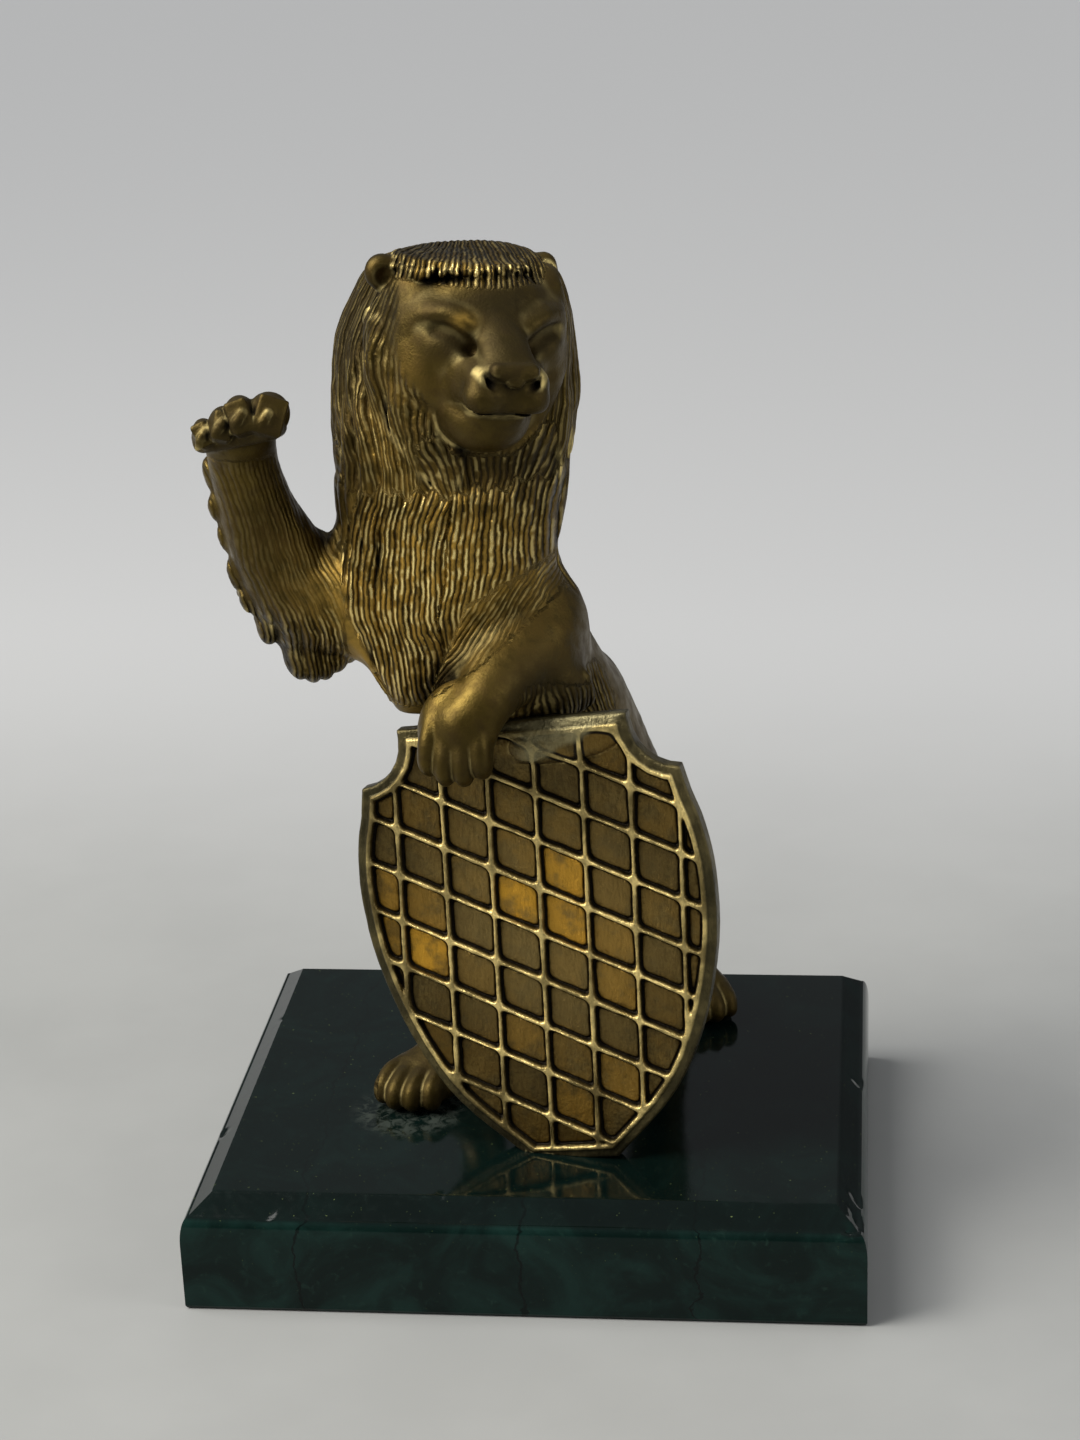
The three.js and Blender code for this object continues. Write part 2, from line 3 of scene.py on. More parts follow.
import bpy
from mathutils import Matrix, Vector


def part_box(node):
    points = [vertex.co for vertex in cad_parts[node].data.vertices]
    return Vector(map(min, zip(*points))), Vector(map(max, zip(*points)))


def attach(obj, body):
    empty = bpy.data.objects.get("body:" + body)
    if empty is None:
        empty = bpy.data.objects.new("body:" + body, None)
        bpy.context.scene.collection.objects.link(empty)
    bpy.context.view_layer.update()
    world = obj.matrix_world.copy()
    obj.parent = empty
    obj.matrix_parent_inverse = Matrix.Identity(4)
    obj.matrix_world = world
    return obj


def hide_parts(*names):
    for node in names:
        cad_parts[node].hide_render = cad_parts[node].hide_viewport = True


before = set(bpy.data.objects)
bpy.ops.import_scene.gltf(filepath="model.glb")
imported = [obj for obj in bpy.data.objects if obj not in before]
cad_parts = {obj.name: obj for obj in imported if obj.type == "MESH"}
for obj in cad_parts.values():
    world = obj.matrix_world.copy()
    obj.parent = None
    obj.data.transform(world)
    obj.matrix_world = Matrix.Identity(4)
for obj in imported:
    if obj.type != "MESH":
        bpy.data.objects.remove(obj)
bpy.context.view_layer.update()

import functools
import itertools
import math

import bmesh
import bpy
import numpy as np
from mathutils import Matrix, Vector

# How far apart the points of each sculpt's grid are, and the most triangles that it keeps
LION_STEP = 0.33
SHIELD_STEP = 0.19
LION_TRIANGLES = 196000
SHIELD_TRIANGLES = 190000

# The distance that stands for empty space, and how far round a form its distance is worked out
FAR = 9.0
MARGIN = 3.0

# The sculpt is drawn in units of the lion's height, which is 159.277 of them, from the top of the slab
DRAWN_HEIGHT = 159.277
slab_low, slab_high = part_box("marble_plinth")
lion_low, lion_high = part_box("lion")
UNIT = (lion_high.z - lion_low.z) / DRAWN_HEIGHT


def turned(x=0.0, y=0.0, z=0.0):
    """The matrix that turns about X, then Y, then Z, in degrees."""
    cx, sx = math.cos(math.radians(x)), math.sin(math.radians(x))
    cy, sy = math.cos(math.radians(y)), math.sin(math.radians(y))
    cz, sz = math.cos(math.radians(z)), math.sin(math.radians(z))
    about_x = np.array([[1, 0, 0], [0, cx, -sx], [0, sx, cx]])
    about_y = np.array([[cy, 0, sy], [0, 1, 0], [-sy, 0, cy]])
    about_z = np.array([[cz, -sz, 0], [sz, cz, 0], [0, 0, 1]])
    return about_z @ about_y @ about_x


class Pose:
    """Where a part that is drawn about its own middle stands on the figure."""

    def __init__(self, matrix, origin, size=1.0):
        self.matrix = np.array(matrix, float)
        self.origin = np.array(origin, float)
        self.size = size

    def point(self, place):
        return self.origin + self.size * (self.matrix @ np.array(place, float))

    def inverse(self, x, y, z):
        moved = (x - self.origin[0], y - self.origin[1], z - self.origin[2])
        back = self.matrix.T / self.size
        return [row[0] * moved[0] + row[1] * moved[1] + row[2] * moved[2] for row in back.astype(np.float32)]


WORLD = Pose(np.eye(3), (0, 0, 0))


def smooth_path(stations, parts):
    """A smooth curve through the stations, with every column of them carried along."""
    rows = np.array(stations, float)
    padded = np.vstack([2 * rows[0] - rows[1], rows, 2 * rows[-1] - rows[-2]])
    path = []
    for index in range(len(rows) - 1):
        a, b, c, d = padded[index:index + 4]
        for step in range(parts):
            t = step / parts
            bend = (2 * a - 5 * b + 4 * c - d) * t * t + (3 * b - a - 3 * c + d) * t ** 3
            path.append(0.5 * (2 * b + (c - a) * t + bend))
    path.append(rows[-1])
    path = np.array(path)
    path[:, 3:] = np.maximum(path[:, 3:], 0.05)
    return path


def soft_min(a, b, blend):
    """The lower of two distances, with a fillet of the blend's width where they meet."""
    low = np.minimum(a, b)
    if blend <= 0:
        return low
    near = np.maximum(blend - np.abs(a - b), 0)
    return low - near * near / (4 * blend)


def oval_distance(p, q, r, a, b, c):
    """About how far a point is outside an oval with the half sizes a, b and c."""
    p, q, r = p / a, q / b, r / c
    level = np.sqrt(p * p + q * q + r * r)
    p, q, r = p / a, q / b, r / c
    slope = np.sqrt(p * p + q * q + r * r) + 1e-5
    return level * (level - 1) / slope


def flat_oval_distance(p, q, a, b):
    """About how far a point of a plane is outside an oval with the half sizes a and b."""
    level = np.sqrt((p / a) ** 2 + (q / b) ** 2)
    slope = np.sqrt((p / a / a) ** 2 + (q / b / b) ** 2) + 1e-5
    return level * (level - 1) / slope


def rounded(sides, round_off):
    """The distance to a form from how far its sides are, with rounded edges where they meet."""
    outside = np.sqrt(sum(np.maximum(side, 0) ** 2 for side in sides))
    inside = np.minimum(functools.reduce(np.maximum, sides), 0)
    return (outside + inside - round_off).astype(np.float32)


class Clay:
    """A block of clay: the distance to the figure's skin at every point of an even grid."""

    def __init__(self, low, high, step):
        self.low = np.array(low, float)
        self.step = step
        size = np.ceil((np.array(high) - self.low) / step).astype(int) + 1
        self.field = np.full(size, FAR, np.float32)
        self.axes = [(self.low[i] + step * np.arange(size[i])).astype(np.float32) for i in range(3)]

    def span(self, low, high):
        first = np.maximum(np.floor((np.array(low) - self.low) / self.step).astype(int), 0)
        last = np.minimum(np.ceil((np.array(high) - self.low) / self.step).astype(int) + 1, self.field.shape)
        return first, np.maximum(last, first)

    def coordinates(self, first, last):
        x, y, z = (self.axes[i][first[i]:last[i]] for i in range(3))
        return x[:, None, None], y[None, :, None], z[None, None, :]

    def merge(self, first, last, distance, blend, cut=False):
        window = tuple(slice(a, b) for a, b in zip(first, last))
        if cut:
            self.field[window] = -soft_min(-self.field[window], distance, blend)
        else:
            self.field[window] = soft_min(self.field[window], distance, blend)

    def around(self, matrix, centre, reach):
        """The part of the grid round a form, and its points in the form's own frame."""
        reach = reach + MARGIN
        first, last = self.span(centre - reach, centre + reach)
        x, y, z = self.coordinates(first, last)
        return first, last, Pose(matrix, centre).inverse(x, y, z)

    def oval(self, place, radii, turn=(0, 0, 0), blend=1.0, pose=WORLD, cut=False):
        matrix = pose.matrix @ turned(*turn)
        radii = np.array(radii, float) * pose.size
        reach = np.sqrt(((matrix * radii) ** 2).sum(axis=1))
        first, last, (p, q, r) = self.around(matrix, pose.point(place), reach)
        self.merge(first, last, oval_distance(p, q, r, *radii), blend, cut)

    def limb(self, stations, side=(1, 0, 0), blend=1.0, pose=WORLD, parts=4, cut=False):
        path = smooth_path(stations, parts)
        places = np.array([pose.point(row[:3]) for row in path])
        sizes = path[:, 3:] * pose.size
        side = pose.matrix @ np.array(side, float)
        reach = sizes.max() + MARGIN
        first, last = self.span(places.min(0) - reach, places.max(0) + reach)
        if np.any(last <= first):
            return
        whole = np.full(last - first, FAR, np.float32)
        for start, end, size_a, size_b in zip(places[:-1], places[1:], sizes[:-1], sizes[1:]):
            near = max(size_a.max(), size_b.max()) + MARGIN
            a, b = self.span(np.minimum(start, end) - near, np.maximum(start, end) + near)
            if np.any(b <= a):
                continue
            part = tuple(slice(i - k, j - k) for i, j, k in zip(a, b, first))
            distance = self.segment(self.coordinates(a, b), start, end, size_a, size_b, side)
            whole[part] = np.minimum(whole[part], distance)
        self.merge(first, last, whole, blend, cut)

    @staticmethod
    def segment(grid, start, end, size_a, size_b, side):
        along = end - start
        length = max(np.linalg.norm(along), 1e-4)
        along = along / length
        across = side - along * np.dot(side, along)
        across = across / max(np.linalg.norm(across), 1e-6)
        through = np.cross(along, across)
        x, y, z = (axis - np.float32(begin) for axis, begin in zip(grid, start))
        s = x * np.float32(along[0]) + y * np.float32(along[1]) + z * np.float32(along[2])
        p = x * np.float32(across[0]) + y * np.float32(across[1]) + z * np.float32(across[2])
        q = x * np.float32(through[0]) + y * np.float32(through[1]) + z * np.float32(through[2])
        share = np.clip(s / np.float32(length), 0, 1)
        width = size_a[0] + (size_b[0] - size_a[0]) * share
        depth = size_a[1] + (size_b[1] - size_a[1]) * share
        past = s - share * np.float32(length)
        return oval_distance(p, q, past, width, depth, np.minimum(width, depth))

    def block(self, place, half, round_off, turn=(0, 0, 0), blend=1.0, pose=WORLD):
        """A box with rounded edges."""
        matrix = pose.matrix @ turned(*turn)
        half = np.array(half, float) * pose.size
        round_off = round_off * pose.size
        first, last, grid = self.around(matrix, pose.point(place), (np.abs(matrix) * half).sum(axis=1))
        sides = [np.abs(p) - (h - round_off) for p, h in zip(grid, half)]
        self.merge(first, last, rounded(sides, round_off), blend)

    def puck(self, place, radii, half_height, round_off, blend=1.0, pose=WORLD):
        """A flat oval disc with a rounded rim."""
        a, b = np.array(radii, float) * pose.size
        height, round_off = half_height * pose.size, round_off * pose.size
        reach = (np.abs(pose.matrix) * np.array([a, b, height])).sum(axis=1)
        first, last, (p, q, r) = self.around(pose.matrix, pose.point(place), reach)
        sides = [flat_oval_distance(p, q, a, b) + round_off, np.abs(r) - height + round_off]
        self.merge(first, last, rounded(sides, round_off), blend)

    def column(self, rows, blend=1.5, crown=3.0):
        """A standing column through level ovals: height, middle x, half width, middle y, half depth."""
        x_high = np.max(rows[:, 1] + rows[:, 2]) + MARGIN
        x_low = np.min(rows[:, 1] - rows[:, 2]) - MARGIN
        y_high = np.max(rows[:, 3] + rows[:, 4]) + MARGIN
        y_low = np.min(rows[:, 3] - rows[:, 4]) - MARGIN
        bottom, top = rows[0, 0], rows[-1, 0]
        first, last = self.span((x_low, y_low, bottom - MARGIN), (x_high, y_high, top + MARGIN))
        x, y, z = self.coordinates(first, last)
        path = smooth_path(rows[:, [1, 3, 0, 2, 4]], 6)
        at_height = [np.interp(z, path[:, 2], path[:, i]) for i in (0, 1, 3, 4)]
        middle_x, middle_y, half_width, half_depth = at_height
        side = flat_oval_distance(x - middle_x, y - middle_y, half_width, half_depth)
        distance = -soft_min(-side, top - z, crown)
        distance = -soft_min(-distance, z - bottom, 1)
        self.merge(first, last, distance.astype(np.float32), blend)

    def lock(self, root, tip, width, thick, outward, bulge=1.0, wave=0.0, blend=0.4, pose=WORLD, blunt=0.1):
        """A pointed lock of hair from its root to its tip, bulging outwards and swaying in between."""
        root, tip = np.array(root, float), np.array(tip, float)
        out = np.array(outward, float)
        out = out / np.linalg.norm(out)
        along = (tip - root) / max(np.linalg.norm(tip - root), 1e-6)
        across = np.cross(along, out)
        across = across / max(np.linalg.norm(across), 1e-6)
        shape = [
            (0, 0.5, 0.0, 0.0), (0.3, 1, 0.9, 1.0), (0.62, 0.85, 0.95, -0.7),
            (0.86, max(0.5, blunt), 0.55, -0.2), (1, blunt, 0.1, 0.5),
        ]
        stations = []
        for share, size, lift, sway in shape:
            place = root + (tip - root) * share + out * bulge * lift + across * wave * sway
            stations.append([*place, width * size, thick * size])
        self.limb(stations, across, blend, pose, parts=3)

    def close(self):
        """Keeps the outermost layer of the block empty, so that the skin is closed."""
        for axis in range(3):
            ends = np.moveaxis(self.field, axis, 0)
            ends[0] = np.maximum(ends[0], 0.5 * self.step)
            ends[-1] = np.maximum(ends[-1], 0.5 * self.step)

    def band(self, reach):
        """The grid points near the skin: their numbers and their places."""
        flat = np.flatnonzero(np.abs(self.field.ravel()) < reach)
        i, j, k = np.unravel_index(flat, self.field.shape)
        return flat, self.axes[0][i], self.axes[1][j], self.axes[2][k]

    def sample(self, points):
        """The distance at any points, read between the grid points."""
        place = (points - self.low) / self.step
        limit = np.array(self.field.shape) - 2
        base = np.clip(np.floor(place).astype(int), 0, limit)
        share = np.clip(place - base, 0, 1)
        total = np.zeros(len(points))
        for corner in itertools.product((0, 1), repeat=3):
            weight = np.prod(np.where(corner, share, 1 - share), axis=1)
            i, j, k = (base + np.array(corner)).T
            total += weight * self.field[i, j, k]
        return total

    def skin(self):
        """Points and four-sided faces on the surface where the distance is zero."""
        inside = self.field < 0
        count = np.zeros(np.array(inside.shape) - 1, np.uint8)
        corners = list(itertools.product((0, 1), repeat=3))
        for corner in corners:
            count += inside[tuple(slice(c, n - 1 + c) for c, n in zip(corner, inside.shape))]
        mixed = (count > 0) & (count < 8)
        cells = np.argwhere(mixed)
        number = np.full(mixed.shape, -1, np.int32)
        number[mixed] = np.arange(len(cells))
        values = {c: self.field[tuple((cells + np.array(c)).T)] for c in corners}
        total = np.zeros((len(cells), 3))
        crossings = np.zeros(len(cells))
        for axis in range(3):
            for start in corners:
                if start[axis]:
                    continue
                end = tuple(1 if i == axis else c for i, c in enumerate(start))
                a, b = values[start], values[end]
                cross = (a < 0) != (b < 0)
                share = np.where(cross, a / np.where(cross, a - b, 1), 0)
                for i in range(3):
                    total[:, i] += np.where(cross, share if i == axis else start[i], 0)
                crossings += cross
        points = self.low + self.step * (cells + total / crossings[:, None])
        faces = []
        for axis in range(3):
            u, v = (axis + 1) % 3, (axis + 2) % 3
            lower = [slice(None)] * 3
            upper = [slice(None)] * 3
            lower[axis] = slice(0, -1)
            upper[axis] = slice(1, None)
            for other in (u, v):
                lower[other] = slice(1, -1)
                upper[other] = slice(1, -1)
            first = inside[tuple(lower)]
            change = first != inside[tuple(upper)]
            spots = np.argwhere(change)
            outward = first[change]
            spots[:, u] += 1
            spots[:, v] += 1
            step_u = np.eye(3, dtype=int)[u]
            step_v = np.eye(3, dtype=int)[v]
            around = [spots - step_u - step_v, spots - step_v, spots, spots - step_u]
            quad = np.stack([number[tuple(cell.T)] for cell in around], axis=1)
            quad[~outward] = quad[~outward][:, ::-1]
            faces.append(quad)
        return points, np.concatenate(faces)


def link_object(name, data):
    item = bpy.data.objects.new(name, data)
    bpy.context.scene.collection.objects.link(item)
    return item


def make_object(name, points, faces):
    mesh = bpy.data.meshes.new(name)
    mesh.vertices.add(len(points))
    mesh.vertices.foreach_set("co", np.ascontiguousarray(points, np.float32).ravel())
    mesh.loops.add(faces.size)
    mesh.loops.foreach_set("vertex_index", np.ascontiguousarray(faces, np.int32).ravel())
    mesh.polygons.add(len(faces))
    mesh.polygons.foreach_set("loop_start", np.arange(0, faces.size, faces.shape[1], dtype=np.int32))
    mesh.update(calc_edges=True)
    mesh.validate()
    return link_object(name, mesh)


def to_metres(item):
    """Takes a mesh from units above the slab to metres in the shared frame."""
    item.data.transform(Matrix.Translation((0, 0, slab_high.z)) @ Matrix.Scale(UNIT, 4))
    item.data.update()


def largest_part(points, faces):
    """Drops the loose crumbs that are no part of the figure."""
    label = np.arange(len(points))
    while True:
        lowest = label[faces].min(axis=1)
        update = label.copy()
        for column in range(faces.shape[1]):
            np.minimum.at(update, faces[:, column], lowest)
        update = update[update]
        if np.array_equal(update, label):
            break
        label = update
    names, sizes = np.unique(label, return_counts=True)
    keep = label == names[np.argmax(sizes)]
    number = np.cumsum(keep) - 1
    return points[keep], number[faces[keep[faces[:, 0]]]]


def thin_out(item, most):
    """Merges the triangles that add least until the mesh is light enough, and applies that."""
    triangles = 2 * len(item.data.polygons)
    if triangles > most:
        modifier = item.modifiers.new("thin_out", "DECIMATE")
        modifier.ratio = most / triangles
        evaluated = item.evaluated_get(bpy.context.evaluated_depsgraph_get())
        lighter = bpy.data.meshes.new_from_object(evaluated)
        item.modifiers.clear()
        item.data = lighter
    smooth_shade(item)


def smooth_shade(item):
    item.data.polygons.foreach_set("use_smooth", np.ones(len(item.data.polygons), bool))
    item.data.update()


def store_layer(item, name, kind, rows):
    """Keeps a colour or a vector at every point of the mesh, for its material to read."""
    layer = item.data.attributes.new(name, kind, "POINT")
    field = "color" if kind == "FLOAT_COLOR" else "vector"
    layer.data.foreach_set(field, rows.astype(np.float32).ravel())


def mesh_places(mesh):
    places = np.zeros(len(mesh.vertices) * 3, np.float32)
    mesh.vertices.foreach_get("co", places)
    return places.reshape(-1, 3)


def store_relief(item, clay, to_clay, fine=0.8, wide=4.0, edge=0.6):
    """Writes how deep each point lies in a groove and in a hollow, and how sharp an edge it is on."""
    mesh = item.data
    count = len(mesh.vertices)
    normals = np.zeros(count * 3, np.float32)
    mesh.vertices.foreach_get("normal", normals)
    places, normals = to_clay(mesh_places(mesh), normals.reshape(-1, 3))
    colour = np.ones((count, 4), np.float32)
    colour[:, 0] = np.clip(1 - clay.sample(places + fine * normals) / fine, 0, 1)
    colour[:, 1] = np.clip(1 - clay.sample(places + wide * normals) / wide, 0, 1)
    colour[:, 2] = np.clip(1 + clay.sample(places - edge * normals) / edge, 0, 1)
    store_layer(item, "relief", "FLOAT_COLOR", colour)
    return places


def ramp(value, low, high):
    """Rises smoothly from 0 at low to 1 at high; low may be the higher number."""
    share = np.clip((value - low) / (high - low), 0, 1)
    return share * share * (3 - 2 * share)


def drift(x, y, z, size, seed=0.0):
    """A slow, even wander between about -1 and 1, the same on every run."""
    x, y, z = x / size, y / size, z / size
    return (
        np.sin(1.7 * x + 0.9 * y + 0.4 * z + seed)
        + np.sin(-0.6 * x + 1.5 * y + 1.1 * z + 2.3 * seed + 1)
        + np.sin(0.5 * x - 0.8 * y + 1.9 * z + 3.1 * seed + 2)
    ) / 3


def strands(phase, depth, roundness=0.75):
    """Rounded strands side by side, one for each whole number of the phase, with a sharp groove between."""
    return depth * (1 - np.abs(np.sin(np.pi * phase)) ** roundness)


# Lion: the large forms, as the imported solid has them

def torso(clay):
    clay.limb([
        [2, 9, 50, 8, 8],
        [2, 9, 57, 14, 13],
        [1, 8, 66, 16.5, 15],
        [-3, 4, 75, 17.5, 15],
        [-7, 1, 85, 17, 14.5],
        [-9.5, -1, 95, 17, 14.5],
        [-11, -1, 106, 16, 14],
        [-11, 0, 115, 14, 12],
    ], blend=1)


# The mane as a column: height, middle x, half width, middle y, half depth
MANE = np.array([
    [79, -18, 4, -13, 4],
    [84, -17, 8.5, -11, 8.5],
    [91, -15.5, 13.5, -8, 12.5],
    [100, -13, 17, -5.5, 15.5],
    [111, -11.3, 18.5, -4, 17.5],
    [123, -11, 19.8, -2.5, 17.8],
    [133, -11.1, 21.5, 0, 17],
    [143, -11, 20.6, 1.5, 16],
    [150, -10.4, 17.9, 1.5, 15],
    [155, -9.9, 14.8, 0.5, 12.5],
    [157.6, -9, 10.5, -1, 9],
])


def mane_at(height):
    """The mane's middle x, half width, middle y and half depth at a height."""
    return [np.interp(height, MANE[:, 0], MANE[:, column]) for column in (1, 2, 3, 4)]


def on_mane(height, angle, lift=0.0):
    """A point on the mane: angle 0 faces the viewer and grows towards the viewer's right."""
    x, half_width, y, half_depth = mane_at(height)
    turn = math.radians(angle)
    return [x + (half_width + lift) * math.sin(turn), y - (half_depth + lift) * math.cos(turn), height]


# Rows of locks on the mane: height of the roots, length, first angle, last angle, count
LOCK_ROWS = [
    [151, 26, -112, -58, 6],
    [141, 30, -106, -46, 6],
    [127, 27, -100, -42, 6],
    [147, 27, 72, 112, 4],
    [125, 28, 62, 98, 4],
    [104, 20, -78, -48, 4],
    [128, 34, 124, 236, 9],
    [147, 27, 130, 230, 8],
    [108, 22, 104, 256, 9],
]


def mane(clay):
    clay.column(MANE)
    for row, (height, length, first, last, count) in enumerate(LOCK_ROWS):
        for index in range(count):
            sway = math.sin(7.3 * index + 2.1 * row)
            angle = first + (last - first) * index / (count - 1)
            top = height + 1.6 * sway
            low = max(top - length - 2 * math.cos(5 * index), MANE[0][0] + 1)
            outward = [math.sin(math.radians(angle)), -math.cos(math.radians(angle)), 0]
            spacing = abs(math.radians((last - first) / (count - 1))) * mane_at(height)[1]
            clay.lock(
                on_mane(top, angle, -1.6), on_mane(low, angle * 0.98 + 2 * sway, 0.2),
                spacing * 0.5, 1.7, outward, bulge=1.0, wave=0.8 * sway, blend=0.5,
            )


# Head: drawn facing -Y about its own middle, then tilted and turned to the viewer's right

HEAD = Pose(turned(0, 7, 23.5), (-8, -3, 142), 0.92)


def both_sides():
    """The left hand and the right hand of the face, as -1 and 1."""
    return (-1, 1)


def skull(clay):
    clay.oval((-0.6, -8.2, 1), (14.4, 12, 14.4), blend=1.5, pose=HEAD)
    clay.oval((-0.8, -12.7, 9), (10.8, 6.2, 6.8), blend=3, pose=HEAD)
    for hand in both_sides():
        clay.oval((hand * 9.4 - 0.8, -12, -2.2), (6, 5.4, 8), blend=4, pose=HEAD)
        clay.oval((hand * 13 - 0.8, -6.4, 4.8), (4.8, 6.8, 10.4), (0, 0, hand * -14), 4, HEAD)


def muzzle(clay):
    clay.limb([
        [-0.8, -10, -3, 11, 10],
        [-0.7, -16, -3, 9.4, 8.4],
        [-0.6, -21, -3, 7.8, 6],
    ], blend=2, pose=HEAD)
    clay.block((-0.5, -23.4, -2.7), (7.7, 7.1, 4.7), 3.6, (5, 0, 0), 2.2, HEAD)
    clay.limb([
        [-0.9, -13, 9.6, 6, 4],
        [-0.8, -18.4, 6.4, 5, 3.4],
        [-0.6, -23.4, 3.9, 4.6, 3],
        [-0.4, -27.6, 1.5, 4.4, 2.4],
    ], blend=2, pose=HEAD)
    for hand in both_sides():
        clay.oval((hand * 4.1 - 0.9, -28.2, -4), (3.8, 3.2, 3), blend=0.8, pose=HEAD)
    clay.block((-0.4, -29.9, 0.8), (4.5, 1.9, 1.7), 1.4, (-16, 0, 0), 0.5, HEAD)
    clay.oval((-0.5, -31.2, -0.6), (1.7, 1, 1.2), blend=0.5, pose=HEAD)
    for hand in both_sides():
        clay.limb([
            [hand * 5.6 - 0.4, -27.4, -0.2, 0.4, 0.4],
            [hand * 4 - 0.4, -30.2, -1.4, 0.5, 0.5],
            [hand * 1.6 - 0.4, -32, -2.2, 0.4, 0.4],
        ], blend=0.7, pose=HEAD, cut=True)


def chin(clay):
    clay.oval((-1.2, -17.8, -10.2), (7.8, 7.6, 6.2), blend=1, pose=HEAD)
    clay.oval((-0.9, -23.4, -8.8), (5.2, 2.6, 1.9), blend=1.2, pose=HEAD)
    for hand in both_sides():
        clay.oval((hand * 4 - 1.2, -14.8, -9), (4.4, 6, 4.8), blend=2.5, pose=HEAD)


def mouth(clay):
    """A slot between the lips, which curves back and down to each corner, and the split above it."""
    for hand in both_sides():
        clay.limb([
            [-0.9, -32, -7.1, 3.4, 0.3],
            [hand * 4 - 0.9, -30, -7, 3.2, 0.36],
            [hand * 7.2 - 0.9, -26, -7.2, 3, 0.45],
            [hand * 8.9 - 0.9, -21.4, -9, 2.2, 0.5],
            [hand * 9 - 0.9, -18.6, -12, 1.4, 0.5],
        ], side=(0, 1, 0), blend=0.5, pose=HEAD, cut=True)
    clay.limb([
        [-1, -32.2, -1.8, 0.3, 0.8],
        [-1.5, -31.4, -4.2, 0.26, 0.6],
        [-1.8, -31, -7, 0.4, 0.7],
    ], blend=0.5, pose=HEAD, cut=True)
    clay.limb([
        [-10.6, -18.6, -12.6, 1, 1],
        [-7.6, -20.4, -16.6, 1.5, 1.4],
        [-1, -21.4, -18.2, 1.9, 1.6],
        [4.6, -20.4, -16.8, 1.5, 1.4],
        [7.4, -18, -12.6, 1, 1],
    ], blend=1, pose=HEAD, cut=True)


def brows(clay):
    for hand in both_sides():
        clay.limb([
            [hand * 4.6 - 0.6, -18.8, 5, 1.6, 1.5],
            [hand * 6 - 0.6, -19.2, 7.2, 2.3, 1.9],
            [hand * 9 - 0.6, -17.3, 8.6, 2.2, 1.7],
            [hand * 12 - 0.6, -14, 8, 1.9, 1.5],
            [hand * 13.8 - 0.6, -11, 5.6, 1.5, 1.2],
        ], side=(0, -1, 0), blend=2.4, pose=HEAD)


def eyes(clay):
    """Narrow, nearly closed eyes that slant down towards the nose, deepest at their inner ends."""
    for hand in both_sides():
        clay.oval((hand * 8.8 - 0.5, -16.4, 2.4), (4, 3, 2.6), (0, hand * -24, hand * 26), 3, HEAD)
        clay.limb([
            [hand * 4.9 - 0.5, -20.7, 2.4, 1, 0.8],
            [hand * 6.6 - 0.5, -20.9, 4.1, 0.8, 0.8],
            [hand * 9 - 0.5, -19.8, 5.4, 0.5, 0.6],
            [hand * 11.4 - 0.5, -17.7, 5.8, 0.2, 0.3],
        ], side=(0, -1, 0), blend=1.8, pose=HEAD, cut=True)


def nostrils(clay):
    """A slit on each side of the nose pad that curls outwards."""
    for hand in both_sides():
        clay.limb([
            [hand * 1.9 - 0.4, -32.4, -1.1, 0.4, 0.4],
            [hand * 2.9 - 0.4, -32, -0.7, 0.75, 0.55],
            [hand * 4 - 0.4, -31, -0.3, 0.65, 0.5],
            [hand * 4.9 - 0.4, -29.8, 0.3, 0.4, 0.4],
        ], blend=0.6, pose=HEAD, cut=True)


# Each ear's middle and half sizes in the head's own frame
EARS = [((-18, -2, 12.9), (3.2, 2.5, 3.3)), ((12.8, -1.6, 14), (2.6, 2.3, 3.2))]


def ears(clay):
    for (x, y, z), (a, b, c) in EARS:
        clay.oval((x, y, z), (a, b, c), blend=1, pose=HEAD)
        clay.oval((x, y - b, z - 0.4), (0.5 * a, 0.5 * b, 0.5 * c), blend=1, pose=HEAD, cut=True)


# The mop of hair over the brow: its strands run back along the line of sight of the photograph
MOP = Pose(HEAD.matrix @ turned(-4, 0, -16), HEAD.point((-3.4, -2.6, 14.5)), HEAD.size)
MOP_HALF_WIDTH = 12.8
MOP_HALF_DEPTH = 13.2


def forelock(clay):
    """The low mop of combed hair over the brow, which ends in a rolled edge with small curls."""
    clay.puck((0, 0.4, 0.6), (MOP_HALF_WIDTH, MOP_HALF_DEPTH), 1.4, 1.1, blend=0.8, pose=MOP)
    clay.oval((0, 0.8, 0.5), (MOP_HALF_WIDTH - 0.6, MOP_HALF_DEPTH - 0.4, 2), blend=0.8, pose=MOP)
    curls = 21
    for index in range(curls):
        share = 2 * index / (curls - 1) - 1
        angle = 1.2 * share - 0.05
        size = 1 + 0.3 * math.cos(4.1 * index)
        across, deep = MOP_HALF_WIDTH * 0.97 * math.sin(angle), -MOP_HALF_DEPTH * 0.97 * math.cos(angle)
        place = (across, deep, 0.3 * math.sin(3 * index) + 0.2 + 0.06 * across)
        clay.oval(place, (0.8, 1.2, 0.95 * size), (0, 0, math.degrees(angle)), 0.5, MOP)
    clay.oval((-7.6, -10, -1), (2.6, 1.6, 1.3), (0, 0, -38), 0.7, MOP)
    clay.limb([
        [-2.6, -12, 0, 0.8, 0.8],
        [2, -12.2, 0.5, 1, 0.9],
        [6.4, -10.6, 0.7, 0.9, 0.8],
    ], side=(0, -1, 0), blend=0.6, pose=MOP)


